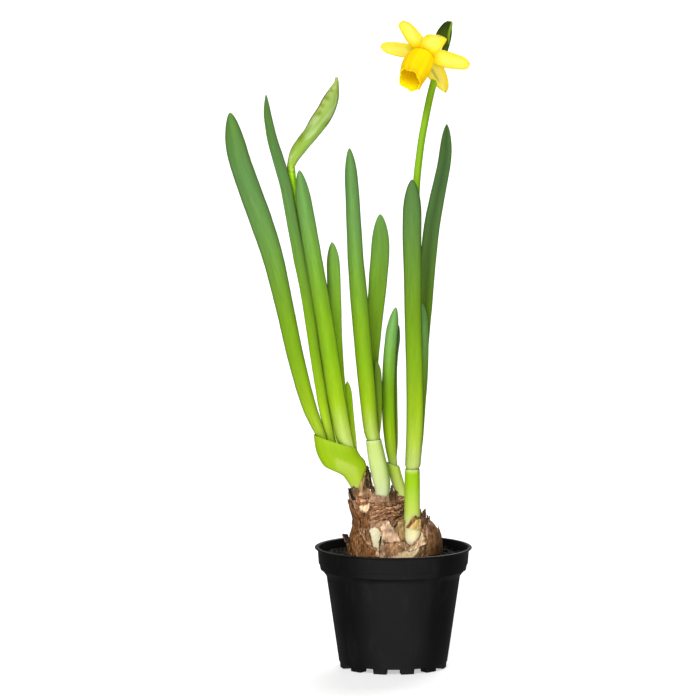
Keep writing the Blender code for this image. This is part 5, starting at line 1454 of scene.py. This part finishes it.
def make_soil(peat):
    """The soil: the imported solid's form, broken up on top, with loose crumbs on it."""
    body = remeshed("soil", SOIL_VOXEL)
    for vert in body.verts:
        if vert.co.z > (SOIL_TOP - SOIL_BROKEN_DEPTH) * MM:
            place = Vector((vert.co.x, vert.co.y, 0.0)) / MM
            lumps = 0.9 * noise.noise(place / 3.1) + 0.55 * noise.noise(place / 1.3)
            lumps += 0.3 * noise.noise(place / 0.7)
            vert.co.z += lumps * MM
    piece("soil_bed", body, peat, "peat", "soil")
    chance = random.Random(11)
    crumbs = bmesh.new()
    while len(crumbs.verts) < CRUMBS * CRUMB_CORNERS:
        turn = chance.uniform(0.0, 2.0 * math.pi)
        radius = math.sqrt(chance.uniform(CRUMB_RING[0] ** 2, CRUMB_RING[1] ** 2))
        size = chance.uniform(*CRUMB_SIZES)
        place = Vector((radius * math.cos(turn), radius * math.sin(turn), SOIL_TOP + CRUMB_HEIGHT))
        spin = Matrix.Rotation(chance.uniform(0.0, 6.3), 4, Vector((chance.random(), chance.random(), 0.4)))
        stretch = Matrix.Diagonal((1.0, chance.uniform(0.5, 1.0), chance.uniform(0.5, 1.0), 1.0))
        bmesh.ops.create_icosphere(
            crumbs, subdivisions=1, radius=size * MM, matrix=Matrix.Translation(spot(place)) @ spin @ stretch,
        )
    piece("loose_crumbs", crumbs, peat, "peat", "soil")


# Torn dry skins that lie on the bulbs and the feet of the shoots, listed by the side that they are seen from,
# in degrees. Each has its corners as place across and height (foot left, foot right, tip right, tip left),
# how proud it lies, how far its tip curls out, its colours at foot and tip, and how marked it is if it isn't
# as marked as most
TORN_SKINS = {
    0.0: [
        ([(-7.2, 73.4), (4.0, 72.6), (-1.6, 83.0), (-5.0, 84.9)], 0.30, 0.1,
         (0.68, 0.44, 0.27), (0.86, 0.57, 0.38), 0.4),
        ([(3.4, 73.4), (6.4, 73.6), (6.4, 85.2), (2.2, 83.2)], 0.20, 0.1,
         (0.36, 0.22, 0.09), (0.36, 0.23, 0.09), 0.5),
        ([(-20.6, 98.6), (-10.4, 96.6), (-13.4, 112.0), (-14.7, 114.6)], 0.35, 0.0,
         (0.52, 0.30, 0.165), (0.07, 0.055, 0.012)),
        ([(-25.2, 98.2), (-18.2, 97.8), (-19.0, 102.8), (-24.9, 103.6)], 0.15, 0.1,
         (0.20, 0.10, 0.045), (0.10, 0.075, 0.035)),
        ([(-12.9, 100.6), (-11.3, 100.2), (-13.5, 112.3), (-14.4, 113.8)], 0.75, 0.0,
         (0.05, 0.035, 0.012), (0.025, 0.022, 0.006)),
        ([(-15.6, 102.8), (-13.2, 102.2), (-14.2, 107.6), (-15.8, 108.4)], 0.75, 0.1,
         (0.07, 0.04, 0.018), (0.05, 0.035, 0.012)),
        ([(-20.2, 101.6), (-18.2, 101.0), (-15.5, 111.4), (-16.2, 112.4)], 0.75, 0.1,
         (0.50, 0.31, 0.17), (0.34, 0.27, 0.06)),
        ([(-4.8, 94.6), (3.6, 94.6), (1.6, 101.6), (-2.2, 98.8)], 0.4, 0.3,
         (0.28, 0.15, 0.085), (0.12, 0.06, 0.03)),
        ([(-14.2, 94.8), (-6.6, 94.8), (-10.8, 99.8), (-13.2, 103.4)], 0.4, 0.2,
         (0.42, 0.25, 0.15), (0.66, 0.44, 0.29)),
        ([(7.2, 80.4), (15.8, 78.8), (14.9, 86.2), (11.4, 86.2)], 0.35, 0.3,
         (0.66, 0.47, 0.17), (0.52, 0.32, 0.09), 0.25),
        ([(6.6, 80.7), (8.4, 80.5), (12.8, 85.6), (11.2, 87.0)], 0.75, 0.4,
         (0.13, 0.06, 0.02), (0.18, 0.09, 0.03)),
        ([(11.6, 85.6), (15.4, 85.8), (15.6, 86.8), (11.9, 86.8)], 0.75, 0.4,
         (0.20, 0.10, 0.03), (0.10, 0.05, 0.02)),
        ([(2.0, 71.4), (8.6, 66.8), (8.7, 70.4), (5.4, 73.3)], 0.45, 0.2,
         (0.44, 0.27, 0.14), (0.34, 0.19, 0.09)),
        ([(8.8, 67.0), (18.2, 71.4), (16.7, 77.8), (9.0, 70.2)], 0.45, 0.3,
         (0.96, 0.65, 0.38), (0.70, 0.44, 0.24)),
        ([(-23.4, 95.8), (-21.4, 96.2), (-24.9, 102.5), (-26.2, 103.0)], 0.25, 0.2,
         (0.020, 0.014, 0.012), (0.010, 0.009, 0.009)),
        ([(-24.0, 88.2), (-22.2, 89.0), (-23.4, 94.0), (-25.2, 94.3)], 0.2, 0.3,
         (0.04, 0.028, 0.02), (0.09, 0.075, 0.065)),
        ([(-26.8, 70.6), (-24.4, 71.6), (-25.9, 76.2), (-29.2, 76.4)], 0.2, 0.4,
         (0.05, 0.03, 0.02), (0.030, 0.020, 0.018)),
        ([(15.2, 79.6), (17.6, 80.0), (18.1, 90.8), (16.6, 89.6)], 0.2, 0.4,
         (0.30, 0.15, 0.07), (0.06, 0.03, 0.015)),
        ([(18.0, 82.2), (19.6, 82.6), (19.8, 87.2), (19.1, 87.2)], 0.2, 0.4,
         (0.12, 0.07, 0.04), (0.05, 0.03, 0.02)),
        ([(-9.6, 62.0), (-4.6, 62.0), (-5.2, 70.4), (-8.2, 72.4)], 0.10, 0.0,
         (0.78, 0.50, 0.29), (0.70, 0.50, 0.32)),
        ([(-11.0, 93.0), (-1.4, 92.6), (-2.6, 98.0), (-9.8, 98.0)], 0.35, 0.2,
         (0.26, 0.13, 0.06), (0.34, 0.21, 0.13)),
        ([(19.8, 63.6), (26.6, 66.0), (25.6, 77.6), (19.6, 82.6)], 0.25, 0.1,
         (0.185, 0.088, 0.032), (0.26, 0.13, 0.058)),
    ],
    90.0: [
        ([(-22.0, 64.0), (-8.0, 64.0), (-10.0, 78.0), (-18.0, 80.0)], 0.35, 0.3,
         (0.13, 0.060, 0.022), (0.20, 0.10, 0.045)),
        ([(-6.0, 63.0), (6.0, 63.0), (4.0, 76.0), (-4.0, 73.0)], 0.35, 0.3,
         (0.38, 0.22, 0.11), (0.30, 0.17, 0.09)),
    ],
    150.0: [
        ([(-26.0, 64.0), (-10.0, 64.0), (-12.0, 79.0), (-22.0, 76.0)], 0.35, 0.3,
         (0.24, 0.14, 0.08), (0.40, 0.25, 0.15)),
    ],
    180.0: [
        ([(-12.0, 63.0), (6.0, 63.0), (2.0, 77.0), (-9.0, 80.0)], 0.35, 0.3,
         (0.34, 0.19, 0.09), (0.25, 0.14, 0.08)),
        ([(8.0, 66.0), (22.0, 64.0), (20.0, 82.0), (12.0, 79.0)], 0.35, 0.3,
         (0.26, 0.15, 0.08), (0.44, 0.28, 0.18)),
        ([(2.0, 90.0), (13.0, 90.0), (11.0, 102.0), (5.0, 104.0)], 0.4, 0.4,
         (0.28, 0.15, 0.09), (0.22, 0.12, 0.07)),
        ([(12.0, 91.0), (24.0, 90.0), (21.0, 101.0), (15.0, 106.0)], 0.4, 0.4,
         (0.27, 0.13, 0.07), (0.34, 0.20, 0.12)),
        ([(-9.0, 87.0), (-1.0, 88.0), (-2.0, 98.0), (-7.0, 99.0)], 0.4, 0.4,
         (0.24, 0.14, 0.08), (0.18, 0.10, 0.06)),
    ],
    250.0: [
        ([(-18.0, 64.0), (0.0, 64.0), (-3.0, 78.0), (-13.0, 82.0)], 0.35, 0.3,
         (0.24, 0.11, 0.042), (0.30, 0.16, 0.075)),
    ],
    290.0: [
        ([(-14.0, 80.0), (2.0, 79.0), (-2.0, 92.0), (-10.0, 94.0)], 0.35, 0.3,
         (0.17, 0.075, 0.028), (0.25, 0.12, 0.052)),
    ],
}
SKIN_STEPS = 22
SKIN_THICKNESS = 0.28
SKIN_MARKED = 0.75
SKIN_SMOOTHINGS = 8
# A skin narrower than this at its foot is less ragged
RAGGED_WIDTH = 7.0
# How far from the pot's axis the search starts for what a skin lies on
CAST_FROM = 100.0


def surface_tree(pieces):
    """One tree of faces of some pieces, in metres, for finding where a skin touches them."""
    places = []
    faces = []
    for made in pieces:
        first = len(places)
        places.extend(vert.co.copy() for vert in made.data.vertices)
        faces.extend([first + index for index in face.vertices] for face in made.data.polygons)
    return BVHTree.FromPolygons(places, faces)


def neighbours(i, j):
    return (i - 1, j), (i + 1, j), (i, j - 1), (i, j + 1)


def fill_gaps(depths):
    """Gives points that touch nothing the mean depth of their neighbours, from each gap's edge inwards."""
    for _ in range(3 * SKIN_STEPS):
        missing = [key for key, depth in depths.items() if depth is None]
        if not missing:
            break
        filled = {}
        for i, j in missing:
            near = [depths.get(key) for key in neighbours(i, j)]
            near = [depth for depth in near if depth is not None]
            if near:
                filled[i, j] = sum(near) / len(near)
        depths.update(filled)


def smoothed(depths):
    """Brings each point that lies deeper than its neighbours out to their mean."""
    return {
        (i, j): min(depth, sum(depths.get(key, depth) for key in neighbours(i, j)) / 4.0)
        for (i, j), depth in depths.items()
    }


def torn_skin(tree, side, corners, proud, curl, foot_colour, tip_colour, marked=SKIN_MARKED):
    """A thin skin with ragged edges, laid on what is under it as seen from one side."""
    side = math.radians(side)
    across_way = Vector((math.cos(side), math.sin(side), 0.0))
    inwards = Vector((-math.sin(side), math.cos(side), 0.0))
    way = (inwards - Vector((0.0, 0.0, VIEW_SLOPE))).normalized()
    axis_foot = spot((0.0, 0.0, 0.0))
    foot_left, foot_right, tip_right, tip_left = [Vector(corner) for corner in corners]
    seed = foot_left.x + 3.0 * tip_right.y
    ragged = min((foot_right.x - foot_left.x) / RAGGED_WIDTH, 1.0)
    flat = {}
    depths = {}
    for i in range(SKIN_STEPS + 1):
        for j in range(SKIN_STEPS + 1):
            u = i / SKIN_STEPS
            v = j / SKIN_STEPS
            place = foot_left.lerp(foot_right, u).lerp(tip_left.lerp(tip_right, u), v)
            rim = ragged * step(0.6, 1.0, max(abs(2.0 * u - 1.0), 2.0 * v - 1.0))
            place.x += 1.2 * rim * noise.noise(Vector((place.x / 2.2, place.y / 1.6, seed)))
            place.x += 0.35 * rim * noise.noise(Vector((place.x / 0.8, place.y / 0.8, seed)))
            place.y += 2.4 * ragged * step(0.4, 1.0, v) * noise.noise(Vector((place.x / 1.9, seed, 3.0)))
            flat[i, j] = place
            start = across_way * place.x - inwards * CAST_FROM
            start.z = place.y + VIEW_SLOPE * CAST_FROM
            hit = tree.ray_cast(spot(start), way)[0]
            depths[i, j] = None if hit is None else (hit - axis_foot).dot(inwards) / MM
    fill_gaps(depths)
    for _ in range(SKIN_SMOOTHINGS):
        depths = smoothed(depths)
    body = bmesh.new()
    bmesh.ops.create_grid(body, x_segments=SKIN_STEPS, y_segments=SKIN_STEPS, size=1.0)
    tint = body.verts.layers.float_color.new("tint")
    for vert in body.verts:
        i = round((vert.co.x + 1.0) / 2.0 * SKIN_STEPS)
        j = round((vert.co.y + 1.0) / 2.0 * SKIN_STEPS)
        u = i / SKIN_STEPS
        v = j / SKIN_STEPS
        place = flat[i, j]
        depth = depths[i, j] - proud - curl * v * v * 2.0
        z = place.y - VIEW_SLOPE * depth
        vert.co = spot(across_way * place.x + inwards * depth + Vector((0.0, 0.0, z)))
        grain = noise.noise(Vector((place.x / 0.8, place.y / 4.0, seed)))
        blotch = noise.noise(Vector((place.x / 2.0, place.y / 2.5, seed + 4.0)))
        colour = shade(mix(foot_colour, tip_colour, v), max(1.0 + 0.5 * grain + 0.7 * blotch, 0.25))
        border = max(abs(2.0 * u - 1.0), 2.0 * v - 1.0)
        broken = clamp(0.6 + 1.6 * noise.noise(Vector((place.x / 1.5, place.y / 1.5, seed + 8.0))))
        # A lighter band inside the torn rim: partly its paler edge, partly painted highlight
        colour = mix(colour, shade(colour, 1.7), 0.6 * broken * step(0.66, 0.80, border))
        # The rim itself is darkened: painted shade
        colour = mix(colour, shade(colour, 0.25), (1.0 - 0.6 * broken) * step(0.90, 0.98, border))
        vert[tint] = (*colour, marked)
    bmesh.ops.recalc_face_normals(body, faces=body.faces)
    return body


# The scene itself
skins = {name: plant_skin(name, *values) for name, values in PLANT_SKINS.items()}
dry_skin = papery_skin()

for leaf_name, values in LEAVES.items():
    piece(leaf_name + "_blade", blade(*values), skins["leaf_skin"], "leaf_green", leaf_name)

bud_stem = at_distances(STEM_BUD, every(STEM_SPACING))
piece("bud_stem", round_stem(bud_stem, *BUD_STEM_LOOK), skins["stem_skin"], "stem_green", "stem_bud")
flower_stem = at_distances(STEM_FLOWER, every(STEM_SPACING))
flower_stem += at_distances([STEM_FLOWER[-1], *FLOWER_STALK], every(STALK_SPACING))[1:]
body = round_stem(flower_stem, *FLOWER_STEM_LOOK)
piece("flower_stem", body, skins["stem_skin"], "stem_green", "stem_flower")
body = wrapped(SPATHE, SPATHE_SIDES, ROUND, spathe_tint, swell_at=spathe_swell)
piece("spathe_hood", body, skins["spathe_skin"], "spathe_green", "spathe")

# Torn skins are laid on the sheaths and the bulbs
carriers = []
for sheath_name, rows, tint_at, floor_row in (
    ("left", SHEATH_LEFT, left_sheath_tint, 5.5),
    ("middle", SHEATH_MIDDLE, middle_sheath_tint, 4.0),
    ("rear", SHEATH_REAR, rear_sheath_tint, 4.0),
    ("right", SHEATH_RIGHT, right_sheath_tint, 6.0),
):
    body = wrapped(rows, SHEATH_SIDES, SHEATH_SQUARENESS, tint_at, floor_row)
    made = piece(sheath_name + "_sheath", body, skins["sheath_skin"], "sheath_green", "sheath_" + sheath_name)
    carriers.append(made)
body = wrapped(BUD, SHEATH_SIDES, ROUND, bud_tint, swell_at=bud_swell)
piece("closed_bud", body, skins["bud_skin"], "bud_green", "bud")

make_flower(skins["petal_skin"], skins["trumpet_skin"], skins["stamen_skin"])
for bulb in ("bulb_left", "bulb_right"):
    carriers.append(make_bulb(bulb, dry_skin))
tree = surface_tree(carriers)
sided_skins = [(side, *values) for side, skins_there in TORN_SKINS.items() for values in skins_there]
for number, values in enumerate(sided_skins):
    made = piece(f"torn_skin_{number + 1}", torn_skin(tree, *values), dry_skin, "bulb_skin")
    wall = made.modifiers.new("thickness", "SOLIDIFY")
    wall.thickness = SKIN_THICKNESS * MM
    wall.offset = 0.0
make_pot(moulded_plastic())
make_soil(damp_peat())

bpy.ops.mesh.primitive_plane_add(size=FLOOR_SIZE, location=(0.0, 0.0, -FLOOR_DROP))
floor = bpy.context.object
floor.name = "floor"
pale, shader = new_material("pale_floor", 0.9, 0.1)
shader.inputs["Base Color"].default_value = FLOOR_COLOUR
shader.inputs["Emission Color"].default_value = WHITE
shader.inputs["Emission Strength"].default_value = FLOOR_GLOW
floor.data.materials.append(pale)
floor.visible_diffuse = False
floor.visible_glossy = False
floor.visible_shadow = False

for light_name, (side, height, strength, width) in LIGHTS.items():
    lamp = bpy.data.lights.new(light_name, "SUN")
    lamp.energy = strength
    lamp.angle = math.radians(width)
    holder = add_object(light_name, lamp)
    holder.rotation_euler = (math.radians(90.0 - height), 0.0, math.radians(side))

# The camera sees a plain pale background, and the softbox and a little light from all round light the rest
world = bpy.data.worlds.new("studio")
bpy.context.scene.world = world
world.use_nodes = True
background = world.node_tree.nodes["Background"]
background.inputs["Color"].default_value = WHITE
way = add_node(world, "ShaderNodeTexCoord").outputs["Generated"]
box_way = Vector(SOFTBOX).normalized()
towards = add_node(world, "ShaderNodeVectorMath", {"operation": "DOT_PRODUCT"}, i0=way, i1=box_way)
softbox = spread(world, towards.outputs["Value"], *SOFTBOX_EDGES, AMBIENT, SOFTBOX_BRIGHTNESS, "SMOOTHSTEP")
seen_directly = add_node(world, "ShaderNodeLightPath").outputs["Is Camera Ray"]
seen = add_node(world, "ShaderNodeMix", i0=seen_directly, i2=softbox, i3=BACKGROUND)
world.node_tree.links.new(seen.outputs[0], background.inputs["Strength"])

camera = bpy.data.cameras.new("camera")
camera.lens = CAMERA_LENS
camera.sensor_width = SENSOR_WIDTH
camera.clip_end = CAMERA_REACH
holder = add_object("camera", camera)
holder.location = spot(CAMERA_PLACE)
holder.rotation_euler = (math.radians(90.0 - CAMERA_PITCH), 0.0, 0.0)
bpy.context.scene.camera = holder
bpy.context.scene.view_settings.view_transform = "Standard"
